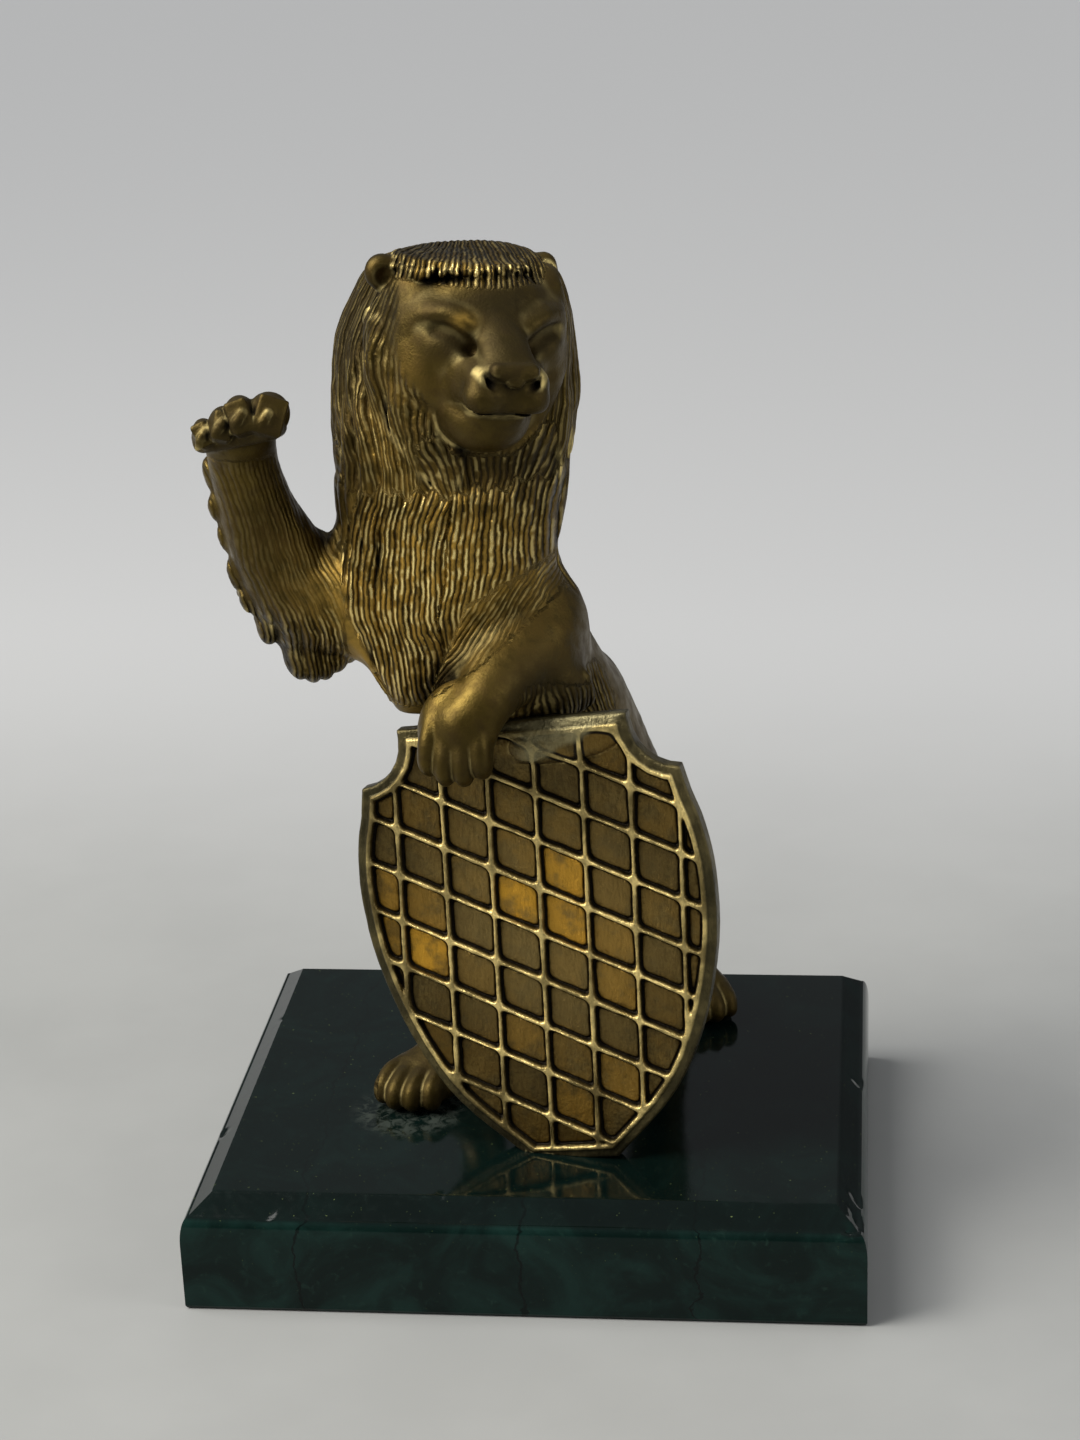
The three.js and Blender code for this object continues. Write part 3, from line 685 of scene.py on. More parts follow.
# Where the fur starts beside the bare face, on the left and on the right, in the head's own frame
LEFT_EDGE = np.array([
    (-17.4, -4, 7), (-18, -6, 3), (-17.6, -7.6, -0.6), (-15.8, -9.6, -3.8), (-13.4, -11.6, -6.6),
    (-11.6, -13.4, -9.8), (-10.2, -14.6, -13), (-6.8, -16.4, -16.8),
])
RIGHT_EDGE = np.array([
    (14.6, -4.4, 4), (14.8, -6.6, -0.6), (14.2, -8.4, -5),
    (12.6, -10.6, -9.2), (10, -13, -13), (5.6, -15.4, -17),
])


def cheek_fur(clay):
    """Flat wavy locks that spring from the edge of the face and lie down on the mane beside the jaw."""
    for edge, hand in ((LEFT_EDGE, -1), (RIGHT_EDGE, 1)):
        for index, place in enumerate(edge):
            root = HEAD.point((place[0] + hand * 1.2, place[1] + 1.6, place[2] + 1))
            middle_x, half_width, middle_y, half_depth = mane_at(root[2])
            across = (root[0] - middle_x) / half_width
            forward = (middle_y - root[1]) / half_depth
            angle = math.degrees(math.atan2(across, forward))
            tip = on_mane(root[2] - 14 - 2 * math.sin(2.4 * index), angle - hand * index, -0.4)
            outward = (math.sin(math.radians(angle)), -math.cos(math.radians(angle)), 0)
            clay.lock(root, tip, 2.4, 1.3, outward, 0.3, wave=0.8 * (-1) ** index, blend=1.8)


def head(clay):
    skull(clay)
    muzzle(clay)
    brows(clay)
    chin(clay)
    mouth(clay)
    eyes(clay)
    nostrils(clay)
    ears(clay)
    forelock(clay)
    cheek_fur(clay)


# Legs, paws and tail

def paw(clay, place, size, turn, blend):
    """A broad paw with four toes, drawn facing -Y about its own middle."""
    pose = Pose(turned(*turn), place, size)
    clay.oval((0, 0.3, 0), (0.95, 1.15, 0.5), blend=1.2, pose=pose)
    for index, share in enumerate((-0.64, -0.22, 0.22, 0.64)):
        reach = -0.42 if index in (0, 3) else -0.62
        clay.limb([
            [share * 0.85, reach + 0.9, 0.14, 0.2, 0.26],
            [share * 0.95, reach + 0.4, 0.22, 0.25, 0.3],
            [share, reach, 0.06, 0.26, 0.38],
            [share, reach - 0.16, -0.12, 0.23, 0.3],
        ], blend=blend, pose=pose)


# The raised paw's curled toes: middle, half sizes and turn
RAISED_TOES = [
    [-39.4, -22.6, 134.6, 3.6, 4, 3.9, 14],
    [-43.6, -24, 134.9, 2.7, 3.6, 3.4, -12],
    [-47, -24, 133.4, 2.4, 3.4, 3, 10],
    [-50.3, -22.8, 131.6, 2.1, 3.2, 2.6, -16],
]

# The scalloped fur down the raised foreleg's outer edge: root x and z, tip x and z
SCALLOPS = [
    [-50.8, 124.4, -51.9, 116.6], [-50.4, 117.6, -51.3, 111.6], [-49.2, 112.8, -50, 105.6],
    [-48, 107, -48.9, 99], [-46.4, 101, -46.4, 94.4],
]


def raised_foreleg(clay):
    clay.limb([
        [-14, -2, 100, 10, 12],
        [-25, -5, 98.5, 11, 11.5],
        [-33, -7, 97.5, 10.5, 10.5],
        [-38.5, -8, 100, 9, 9.5],
        [-42, -8.5, 105.5, 8, 8.5],
        [-44.6, -9.5, 112, 7, 7.4],
        [-46, -11, 119, 6.2, 6.4],
        [-46.4, -13.5, 125.5, 6, 5.4],
        [-45.8, -16.5, 129.5, 6, 4.6],
    ], side=(0.95, 0, 0.3), blend=5)
    clay.block((-45.2, -19.6, 130.9), (7.4, 4.6, 2.3), 1.8, (-8, -11, -6), 0.7)
    for x, y, z, a, b, c, turn in RAISED_TOES:
        clay.oval((x, y, z), (a, b, c), (-18, turn, 8), 0.5)
        flat = (0.72 * a, 0.8 * b, 0.84 * c)
        clay.block((x + 0.1, y - 0.8, z - 0.2), flat, 0.6, (-22, 1.5 * turn, 12), 0.4)
        clay.limb([
            [x + 0.9, y - b + 0.3, z + 1.4, 0.7, 0.6],
            [x - 0.1, y - b - 0.3, z - 0.1, 0.8, 0.7],
            [x - 0.9, y - b + 0.5, z - 1.9, 0.5, 0.5],
        ], blend=0.5)
    for root_x, root_z, tip_x, tip_z in SCALLOPS:
        root, tip = (root_x, -9, root_z), (tip_x, -8, tip_z)
        clay.lock(root, tip, 2.6, 3.2, (-0.5, -0.9, 0), 0.7, wave=0.2, blend=0.6, blunt=0.5)
    clay.oval((-38, -7, 92.5), (7, 6.5, 6.5), blend=2)
    clay.oval((-44.3, -8, 93), (3.2, 4, 4), (0, 20, 0), 1.2)
    clay.oval((-37.4, -8, 87), (5.6, 5, 4.8), blend=1.2)
    clay.oval((-33, -7.6, 88.6), (3.4, 4.6, 4), blend=1.2)


def shield_foreleg(clay):
    clay.limb([
        [-7, -3, 104, 8, 9],
        [-3.5, -6, 97, 9, 9],
        [1, -8, 92, 9, 8.6],
        [1.2, -12, 90, 8, 7.8],
        [-0.8, -16.4, 88.2, 7, 6.8],
        [-3.4, -20.6, 86.8, 6, 6.2],
        [-5.6, -24.5, 84.4, 5.3, 5.6],
        [-8.4, -27, 80.8, 5.4, 4.8],
    ], side=(0.8, 0.6, 0.1), blend=5)
    clay.oval((3, -4, 90), (7.5, 7, 10), blend=4)
    clay.oval((4.4, -12.2, 83), (6.8, 6.8, 8), (0, 8, 0), 2.6)
    paw(clay, (-9.8, -27.6, 78.4), 7.3, (66, 0, -8), 0.8)
    for index in range(7):
        x = -1 + 2 * index
        root, tip = (x, -18.4 + 0.9 * index, 85), (x - 0.6, -18 + 1.2 * index, 78)
        clay.lock(root, tip, 1.9, 1.3, (0, -1, 0), 0.4, 0.4, 1.6, blunt=0.4)


def hind_legs(clay):
    clay.limb([
        [-2, 7, 70, 14, 14],
        [-6, 3, 60, 13, 14.5],
        [-10, -1, 50, 10.5, 12.5],
        [-12, -3, 42, 8.5, 9.5],
        [-12.7, 0, 33, 6.4, 7.6],
        [-13, 3, 25, 4.8, 6.4],
        [-13.2, 4, 18, 4.2, 5.6],
        [-14.5, 2, 11, 4.4, 5],
        [-18, -3, 6, 5.6, 4.4],
        [-21.5, -8, 4, 6.6, 3.8],
    ], blend=2)
    paw(clay, (-23.3, -9.4, 3.2), 7.5, (0, 0, -16), 0.9)
    clay.limb([
        [4, 11, 70, 12.5, 13],
        [8, 13, 60, 12, 13.5],
        [13, 14, 50, 10.5, 12.5],
        [16, 17, 42, 8.5, 10],
        [18, 23, 34, 6.6, 7.8],
        [18.5, 30, 26, 5, 6.2],
        [19.5, 34, 19, 4.3, 5.4],
        [21, 34.5, 12, 4.5, 5],
        [24, 32, 6.4, 5.6, 4.4],
        [26.5, 28, 4.2, 6.4, 3.8],
    ], blend=2)
    paw(clay, (27.4, 27, 3.2), 7, (0, 0, 20), 0.9)


def tail(clay):
    clay.limb([
        [2, 14, 64, 5, 5],
        [2, 22, 60, 3.6, 3.6],
        [1.5, 28.5, 50, 2.9, 2.9],
        [0.5, 31, 38, 2.6, 2.6],
        [0.5, 32, 26, 2.5, 2.5],
        [2, 34, 15, 3.4, 3.4],
        [3, 36, 8, 4.6, 4.4],
        [3.5, 37.5, 3, 4, 3.8],
        [3.8, 38.5, -1, 3, 3],
    ], blend=1)
    for hand in (-1, 0, 1):
        clay.lock((2 + 3 * hand, 33.5, 15), (4 + 4.2 * hand, 39.6, 0.6), 2, 2, (hand, 1, 0.2), 1.2)


# Fur: the strands that are cut into the large forms

# The parting down the chest and the left edge of its strands, as height and x
PARTING = np.array([[80, -16.5], [91.5, -12.3], [98, -13.1], [106, -11.2], [113.3, -10.7], [120.7, -9.5]])
CHEST_LEFT = np.array([[80, -21.5], [90, -26], [98.6, -29.5], [106, -30.5], [115, -28], [122.5, -24]])
STRAND_PITCH = 0.98


def mane_angle(x, y, z):
    middle_x, half_width, middle_y, half_depth = mane_at(z)
    return np.arctan2((x - middle_x) / half_width, -(y - middle_y) / half_depth)


def face_mask(a, b, c):
    """1 on the bare face in the head's own frame, falling to 0 where the fur starts."""
    left, right = (np.interp(c, edge[::-1, 2], edge[::-1, 0]) for edge in (LEFT_EDGE, RIGHT_EDGE))
    sides = ramp(a, left - 0.4, left + 1.2) * ramp(a, right + 0.4, right - 1.2)
    return sides * ramp(b, -1, -3.5) * ramp(c, -18, -16)


def mop_mask(p, q, r):
    """1 on the mop over the brow, in the mop's own frame."""
    level = np.hypot(p / MOP_HALF_WIDTH, q / MOP_HALF_DEPTH)
    return ramp(level, 1.24, 1.14) * ramp(r, -2.6, -1.6)


def ear_mask(a, b, c):
    """1 on the smooth ears, in the head's own frame."""
    nearest = 2.0
    for (x, y, z), (half_x, half_y, half_z) in EARS:
        level = np.sqrt(((a - x) / half_x) ** 2 + ((b - y) / half_y) ** 2 + ((c - z) / half_z) ** 2)
        nearest = np.minimum(nearest, level)
    return ramp(nearest, 1.25, 1.1)


def comb_out(layers, x):
    """Lays layers of hair over each other: mask, strand number, strength, cut and course."""
    number, strength, cut, course = np.zeros((4, *np.shape(x)), np.float32)
    for mask, layer_number, layer_strength, layer_cut, layer_course in layers:
        number = np.where(mask > 0.2, layer_number, number)
        course = np.where(mask > 0.2, layer_course, course)
        strength = strength * (1 - mask) + mask * layer_strength
        cut = cut * (1 - mask) + mask * layer_cut
    return cut, number, strength, course


class HairPlace:
    """What the layers of hair share: the places themselves, the mane's edge and the edges of the chest."""

    def __init__(self, x, y, z):
        self.x, self.y, self.z = x, y, z
        self.wander = drift(x, y, z, 6)
        self.front = ramp(y, -4, -7)
        self.chest_top = 119.5 + 0.05 * (x + 10) + 0.7 * np.sin(x * 1.9) + 0.5 * np.sin(x * 0.8)
        self.chest_low = np.interp(x, [-14, -8, 0, 6], [88, 101, 105, 107])
        self.under_chest = ramp(z, self.chest_low + 1, self.chest_low - 2)
        self.parting = np.interp(z, PARTING[:, 0], PARTING[:, 1])
        middle_x, half_width, middle_y, half_depth = mane_at(z)
        level = np.hypot((x - middle_x) / half_width, (y - middle_y) / half_depth)
        self.on_column = ramp(level, 1.5, 1.3) * ramp(z, 80, 84)
        self.none = np.zeros(np.shape(x), np.float32)


def mane_number(at):
    angle = mane_angle(at.x, at.y, at.z)
    return angle * 19 / 0.95 + 1.1 * np.sin(at.z / 9 + 2.2 * angle) + 0.9 * drift(at.x, at.y, at.z, 11, 2)


def mane_hair(at):
    """The strands down the sides and the back of the mane, away from the arm and the shoulder."""
    number = mane_number(at)
    cut = strands(number / 2.6, 0.3) + strands(number / 6.5 + 0.3 * at.wander, 0.65)
    raised_arm = ramp(at.x, -24.5, -26) * at.front * ramp(at.z, 121, 118)
    bare_arm = ramp(at.x, at.parting, at.parting + 2) * at.under_chest * at.front
    return at.on_column * (1 - raised_arm) * (1 - bare_arm), number, 0.52, cut, at.z


def shoulder_hair(at):
    bare = 95.4 + 0.67 * at.x
    mask = at.under_chest * ramp(at.z, bare - 2, bare + 3) * ramp(at.x, at.parting - 1, at.parting + 1)
    number = (0.6 * at.z - 0.8 * at.x) / 0.8 + 0.7 * at.wander
    return mask * ramp(at.x, 12, 8) * at.front, number, 0.4, at.none, at.z


def arm_hair(at):
    """Faint strands down the raised foreleg, stronger round its elbow."""
    number = (at.x + 0.5 * at.y + 0.27 * at.z) / 0.95 + 0.3 * np.sin(at.z / 4) + 0.6 * at.wander
    low = ramp(at.z, 101, 94)
    cut = strands(number / 3.2, 0.22 + 0.4 * low)
    return ramp(at.x, -29, -32) * ramp(at.z, 127, 123), number, 0.25 + 0.6 * low, cut, at.z


def elbow_hair(at):
    """The fringe under the elbow of the foreleg that rests on the shield."""
    top = 90 - 0.35 * at.x
    mask = ramp(at.x, -3, 0) * ramp(at.y, -26, -22) * ramp(at.z, top, top - 7)
    number = (0.6 * at.x + 0.8 * at.y + 0.25 * at.z) / 1.05 + 0.2 * at.wander
    return mask * ramp(at.z, 72, 75) * ramp(at.y, 2, -2), number, 0.8, strands(number / 2, 0.35), at.z


def neck_hair(at):
    """The hair under the chin, which fans out from one place."""
    number = np.arctan2(at.x + 5, at.z - 104) * 20 / 1.05 + 0.3 * at.wander
    mask = ramp(at.z, at.chest_top - 1.6, at.chest_top + 1.2) * ramp(at.z, 131, 127)
    cut = 0.8 * ramp(at.z, 128, 123) + strands(number / 2, 0.25)
    return mask * at.front * ramp(at.x, -16, -13) * ramp(at.x, 8, 6), number, 0.8, cut, at.z


def chest_hair(at):
    """The long strands down the chest, on both sides of a parting."""
    left = np.interp(at.z, CHEST_LEFT[:, 0], CHEST_LEFT[:, 1])
    foot = np.where(at.x > at.parting, ramp(at.z, at.chest_low - 2, at.chest_low + 1.5), 1)
    mask = ramp(at.z, at.chest_top + 1.6, at.chest_top - 1.2) * ramp(at.x, 10.5, 8) * at.front
    mask = mask * ramp(at.x, left - 0.5, left + 1) * at.on_column * foot
    lean = np.where(at.x < at.parting, 0.5 * (at.parting + left), at.parting)
    number = (at.x - lean) / STRAND_PITCH + 0.14 * np.sin(at.z / 4.4 + at.x / 2.7) + 0.25 * at.wander
    cut = strands(number / 3, 0.4, 0.9) + 0.5 * np.exp(-((at.x - at.parting) / 0.7) ** 2)
    return mask, number, 1.0, cut, at.z


def head_hair(at):
    """The bare face, the combed mop over the brow and the smooth ears."""
    a, b, c = HEAD.inverse(at.x, at.y, at.z)
    p, q, r = MOP.inverse(at.x, at.y, at.z)
    number = np.arctan2(p, 46 - q) * 50 / 0.92 + 0.15 * at.wander
    return [
        (face_mask(a, b, c), mane_number(at), 0.0, at.none, at.z),
        (mop_mask(p, q, r), number, 1.0, strands(number / 2, 0.5, 0.8), q),
        (ear_mask(a, b, c), number, 0.0, at.none, q),
    ]


def fur(x, y, z):
    """How deep each point is cut, and its strand's number, strength and course."""
    at = HairPlace(x, y, z)
    body = [layer(at) for layer in (mane_hair, shoulder_hair, arm_hair, elbow_hair, neck_hair, chest_hair)]
    return comb_out(body + head_hair(at), x)


def soft_muscle(x, y, z):
    """A faint unevenness, as cast and hand-finished brass has."""
    return 0.12 * drift(x, y, z, 3.4, 5) + 0.05 * drift(x, y, z, 1.1, 9)


# Shield: its own flat frame has u across, v up and n out of the front

# The lion's full height, of which the shield's height and width are shares
FULL_HEIGHT = 161
SHIELD_HEIGHT = 0.502 * FULL_HEIGHT
SHIELD_WIDTH = 0.4 * FULL_HEIGHT
SHIELD_THICKNESS = 4
BORDER_WIDTH = 1.7
BORDER_STEP = 0.5
RIM_WIDTH = 0.9
RIDGE_WIDTH = 0.85
FIELD_DEPTH = 1.1
COLUMN_PITCH = 8.55
COLUMN_LEAN = 5.7
ROW_PITCH = 8.95
ROW_SLOPE = 27
ROW_SHIFT = 1.9
WEB_LOW = 73

# The outline in shares of the shield's half width and height: horn, notch, and the side from the top down
HORN_SHARE = 0.645
NOTCH_SHARE = 0.105
SHIELD_SIDE = [
    [0.925, 0.815, 0], [0.975, 0.74, 0], [1, 0.63, 0], [0.965, 0.475, 0],
    [0.83, 0.295, 0], [0.62, 0.145, 0], [0.25, 0, 0],
]

# Cells that are rubbed to gold: column and row, and how much
GOLD_CELLS = {
    (-1, 0): 1, (0, 1): 0.85, (0, 0): 0.8, (-3, -2): 1, (-4, -2): 0.6, (1, -1): 0.35, (1, 0): 0.3,
    (-1, 1): 0.2, (-4, -1): 0.4, (-3, -1): 0.3, (1, -3): 0.3, (0, -4): 0.3, (-1, -3): 0.25,
}

# The shield rolls by 8 degrees in its own plane, leans back by 6 and turns by 9 to the viewer's left
SHIELD = Pose(turned(0, 0, -9) @ turned(84, 0, 0) @ turned(0, 0, 8), (8, -30.6, -0.4))


def shield_outline():
    """The shield's edge as points that go once round."""
    half = SHIELD_WIDTH / 2
    horn = HORN_SHARE * half
    notch = NOTCH_SHARE * SHIELD_HEIGHT
    points = [[horn, SHIELD_HEIGHT]]
    for step in range(7):
        angle = math.pi + (0.5 * math.pi - 0.05) * step / 6
        across = horn + notch + notch * math.cos(angle)
        points.append([across, 0.98 * SHIELD_HEIGHT + notch * math.sin(angle)])
    for u, v in smooth_path(SHIELD_SIDE, 4)[:, :2]:
        points.append([u * half, max(v, 0) * SHIELD_HEIGHT])
    mirrored = [[-u, v] for u, v in reversed(points)]
    return np.array(points + mirrored)


def outline_distance(u, v):
    """How far each place of the shield's plane is outside its outline."""
    points = shield_outline()
    shortest = np.full(u.shape, 1e3, np.float32)
    inside = np.zeros(u.shape, bool)
    for (au, av), (bu, bv) in zip(points, np.roll(points, -1, axis=0)):
        eu, ev = bu - au, bv - av
        length = eu * eu + ev * ev
        if length < 1e-9:
            continue
        share = np.clip(((u - au) * eu + (v - av) * ev) / length, 0, 1)
        shortest = np.minimum(shortest, np.hypot(u - au - share * eu, v - av - share * ev))
        crosses = (av > v) != (bv > v)
        at = au + (v - av) / (ev if abs(ev) > 1e-9 else 1e-9) * eu
        inside ^= crosses & (u < at)
    return np.where(inside, -shortest, shortest)


class OutlineMap:
    """The outline's distance on a fine flat grid, so that many points can look it up."""

    def __init__(self, step=0.25):
        self.step = step
        self.low = (-SHIELD_WIDTH / 2 - 4, -4)
        us = np.arange(self.low[0], -self.low[0], step)
        vs = np.arange(self.low[1], SHIELD_HEIGHT + 4, step)
        self.map = outline_distance(*np.meshgrid(us, vs, indexing="ij"))

    def at(self, u, v):
        i = np.clip((u - self.low[0]) / self.step, 0, self.map.shape[0] - 1.01)
        j = np.clip((v - self.low[1]) / self.step, 0, self.map.shape[1] - 1.01)
        a, b = i.astype(int), j.astype(int)
        s, t = i - a, j - b
        low = self.map[a, b] * (1 - s) + self.map[a + 1, b] * s
        high = self.map[a, b + 1] * (1 - s) + self.map[a + 1, b + 1] * s
        return low * (1 - t) + high * t


def lattice_cell(u, v):
    """The column and the row of the lattice at each place, with whole numbers on the ridges."""
    v = v - SHIELD_HEIGHT / 2
    lean = math.radians(COLUMN_LEAN)
    slope = math.radians(ROW_SLOPE)
    column = (u * math.cos(lean) - v * math.sin(lean)) / (COLUMN_PITCH * math.cos(lean))
    row = ((v - ROW_SHIFT) * math.cos(slope) + u * math.sin(slope)) / (ROW_PITCH * math.cos(slope))
    return column, row


def lattice_gap(u, v):
    """How far each place is from the middle of the nearest ridge of either run."""
    column, row = lattice_cell(u, v)
    to_column = np.abs(column - np.round(column)) * COLUMN_PITCH * math.cos(math.radians(COLUMN_LEAN))
    to_row = np.abs(row - np.round(row)) * ROW_PITCH * math.cos(math.radians(ROW_SLOPE))
    return to_column, to_row


def ridge_gap(u, v, edge):
    """How far each place of the shield's front is from the nearest ridge's edge; below 0 on the ridges."""
    to_column, to_row = lattice_gap(u, v)
    uneven = 0.12 * drift(u, v, u, 5, 3) + 0.06 * drift(u, v, u, 1.5, 6)
    gap = soft_min(to_column, to_row, 1.1) - 0.5 * RIDGE_WIDTH + uneven
    return soft_min(gap, -edge - BORDER_WIDTH - RIM_WIDTH, 0.8)


def web_mask(u, v):
    """1 where the smeared braze web covers the cells at the top right."""
    low = WEB_LOW + 0.45 * np.clip(u - 3, 0, 20) + 0.4 * np.sin(0.9 * u)
    return ramp(v, low - 0.5, low + 0.7) * ramp(u, -1, 3.5) * ramp(u, 24, 20)


def shield_face(u, v, edge):
    """The height of the shield's front: border, rim, ridges and the sunk cells between them."""
    gap = ridge_gap(u, v, edge)
    groove = np.exp(-((gap - 0.22) / 0.16) ** 2) * 0.35
    cell = -FIELD_DEPTH * ramp(gap, -0.2, 0.12) - groove + 0.08 * drift(u, v, u, 1.1, 2)
    crown = -0.14 * ramp(gap, -0.5, 0)
    border = -BORDER_STEP * ramp(-edge, BORDER_WIDTH + 0.25, BORDER_WIDTH - 0.25)
    web = web_mask(u, v)
    front = (cell + crown) * (1 - web) + (0.1 + 0.25 * drift(u, v, u, 3.5, 5)) * web
    return front + border + 0.04 * drift(u, v, u, 2.2, 7)


def sculpt_shield(outline):
    clay = Clay((-SHIELD_WIDTH / 2 - 1, -1, -5), (SHIELD_WIDTH / 2 + 1, SHIELD_HEIGHT + 5, 2.2), SHIELD_STEP)
    u, v, n = clay.coordinates((0, 0, 0), clay.field.shape)
    flat_u, flat_v = np.broadcast_arrays(u[:, :, 0], v[:, :, 0])
    edge = outline.at(flat_u, flat_v)
    front = shield_face(flat_u, flat_v, edge)
    body = -soft_min(-(n - front[:, :, None]), n + SHIELD_THICKNESS, 0.5)
    clay.field = (-soft_min(-body, -edge[:, :, None], 0.7)).astype(np.float32)
    web = Pose(turned(0, 0, 6), (0.12 * SHIELD_HEIGHT, 0.95 * SHIELD_HEIGHT, -0.2 * SHIELD_THICKNESS))
    radii = (0.13 * SHIELD_HEIGHT, 0.045 * SHIELD_HEIGHT, 0.35 * SHIELD_THICKNESS)
    clay.oval((0, 0, 0), radii, blend=1.2, pose=web)
    return clay


def store_lattice(item, places, outline):
    """Writes how golden each cell is, where the braze web lies and how far the nearest ridge is."""
    u, v, n = places.T
    column, row = lattice_cell(u, v)
    gold = np.zeros(len(u))
    for (cell_column, cell_row), share in GOLD_CELLS.items():
        gold = np.where((np.floor(column) == cell_column) & (np.floor(row) == cell_row), share, gold)
    front = ramp(n, -FIELD_DEPTH - 1.2, -FIELD_DEPTH - 0.8)
    gap = ridge_gap(u, v, outline.at(u, v))
    rest = 0.1 + 0.05 * np.sin(5.1 * np.floor(column) + 3.7 * np.floor(row))
    colour = np.zeros((len(u), 4), np.float32)
    colour[:, 0] = np.maximum(gold, rest) * front
    colour[:, 1] = web_mask(u, v) * front
    colour[:, 2] = np.where(front > 0.5, gap, -BORDER_WIDTH - RIM_WIDTH)
    store_layer(item, "zones", "FLOAT_COLOR", colour)


def rest_on_slab(item):
    """Raises what would reach into the slab up to its top."""
    places = mesh_places(item.data)
    places[:, 2] = np.maximum(places[:, 2], 0)
    item.data.vertices.foreach_set("co", places.ravel())
    item.data.update()


def to_shield(places, normals):
    """The places and normals in the shield's own flat frame."""
    return (places - SHIELD.origin) @ SHIELD.matrix, normals @ SHIELD.matrix


def shield_piece(outline):
    clay = sculpt_shield(outline)
    points, faces = largest_part(*clay.skin())
    item = make_object("shield_casting", SHIELD.origin + points @ SHIELD.matrix.T, faces)
    thin_out(item, SHIELD_TRIANGLES)
    rest_on_slab(item)
    places = store_relief(item, clay, to_shield, fine=0.5, wide=1.6, edge=0.5)
    store_lattice(item, places, outline)
    to_metres(item)
    return item


# Lion: sculpting

# How far the shield and its gap reach in its own frame: across, up and through
SHIELD_REACH = ((-34, 34), (-1, 83), (-5, 2))
SHIELD_GAP = 0.12


def clear_the_shield(clay, outline, gap=SHIELD_GAP):
    """Cuts the place of the shield out of the figure, with a hair's gap."""
    corners = [SHIELD.point(corner) for corner in itertools.product(*SHIELD_REACH)]
    low, high = np.min(corners, axis=0), np.max(corners, axis=0)
    first, last = clay.span(low, high)
    x, y, z = clay.coordinates(first, last)
    u, v, n = SHIELD.inverse(x, y, z)
    slab = np.maximum(-(n + SHIELD_THICKNESS) - gap, n - gap)
    near = slab < 2
    edge = np.full(u.shape, FAR, np.float32)
    edge[near] = outline.at(u[near], v[near]) - gap
    clay.merge(first, last, np.maximum(slab, edge).astype(np.float32), 0, cut=True)


# The block of clay that the lion is cut from: its left front corner and its right back corner
LION_BLOCK = ((-58, -43), (38, 44))


def sculpt_lion(outline):
    (left, front), (right, back) = LION_BLOCK
    clay = Clay((left, front, -3.5 * LION_STEP), (right, back, DRAWN_HEIGHT + 3), LION_STEP)
    torso(clay)
    hind_legs(clay)
    tail(clay)
    mane(clay)
    head(clay)
    raised_foreleg(clay)
    shield_foreleg(clay)
    flat, x, y, z = clay.band(1.6)
    values = clay.field.ravel()
    values[flat] = values[flat] + (fur(x, y, z)[0] + soft_muscle(x, y, z)).astype(np.float32)
    clear_the_shield(clay, outline)
    clay.field = np.maximum(clay.field, -clay.axes[2][None, None, :])
    clay.close()
    return clay


# Where handling has polished the lion to gold, with painted highlights on the brow and on the mop's beads,
# and where its patina stays dark, with painted shade under the chin, below the mop, in the eye sockets and
# round the elbow over the shield: strength, middle and reach
# A painted highlight spot on the inner brow, where the dark patina is left out
BROW_HIGHLIGHT_PATCH = (1, (-5.9, -22, 150), (2, 2.4, 1.4))
# Polished gold on the chest, the forelegs and the mane, with painted highlights on the mop's beads and on the
# brow
GOLD_AND_HIGHLIGHT_PATCHES = [
    (1, (-12, -20, 107), (18, 12, 13)), (0.25, (-30, -14, 99), (8, 9, 7)), (0.8, (-21, -12, 90), (9, 9, 9)),
    (0.6, (1, -18, 82), (2.5, 3, 3.5)), (0.35, (-22, -14, 128), (5, 7, 9)),
    (0.6, (-6, -18, 157), (11, 6, 1.6)), BROW_HIGHLIGHT_PATCH, (0.3, (-16, -17, 140), (4, 6, 5)),
]
# Dark patina on the paws, the face and the sides of the mane, and painted shade under the chin, below the
# mop, in the eye sockets and round the elbow over the shield
DARK_PATINA_AND_SHADE_PATCHES = [
    (1, (-45, -24, 134), (10, 10, 6)), (0.9, (0, -26, 142), (9, 10, 12)), (0.7, (0, -16, 123), (14, 8, 4)),
    (0.9, (7, -12, 80), (7, 9, 7)), (0.5, (1, -12, 97), (8, 9, 5)), (0.95, (-2, -16, 152), (11, 7, 3.5)),
    (0.6, (-17, -14, 149), (5, 6, 6)), (0.6, (-9, -31, 77), (8, 6, 6)), (0.6, (-9, -21.5, 146.7), (5, 4, 3)),
    (0.9, (5.4, -15.2, 145), (5, 5, 3.5)), (0.9, (0, -20, 88), (9, 9, 7)), (0.7, (-24, -12, 4), (12, 10, 7)),
    (0.7, (28, 26, 4), (10, 10, 7)), (0.8, (-29, -5, 140), (9, 15, 20)), (0.4, (7, -4, 133), (6, 10, 16)),
]


def patches(places, rows):
    """The sum of soft patches at each place."""
    total = np.zeros(len(places))
    for strength, middle, reach in rows:
        total += strength * np.exp(-(((places - np.array(middle)) / np.array(reach)) ** 2).sum(axis=1))
    return total


def store_zones(item, places):
    """Writes how golden and how dark each point of the lion is: polish with painted highlights, patina with
    painted shade.
    """
    # Dark patina and painted shade, cleared under the painted highlight on the brow
    dark = patches(places, DARK_PATINA_AND_SHADE_PATCHES) * (1 - 0.9 * patches(places, [BROW_HIGHLIGHT_PATCH]))
    colour = np.zeros((len(places), 4), np.float32)
    # Gold from polish, and painted highlights on the brow and the mop's beads
    colour[:, 0] = np.clip(patches(places, GOLD_AND_HIGHLIGHT_PATCHES), 0, 1)
    colour[:, 1] = np.clip(dark, 0, 1)
    colour[:, 3] = 1
    store_layer(item, "zones", "FLOAT_COLOR", colour)


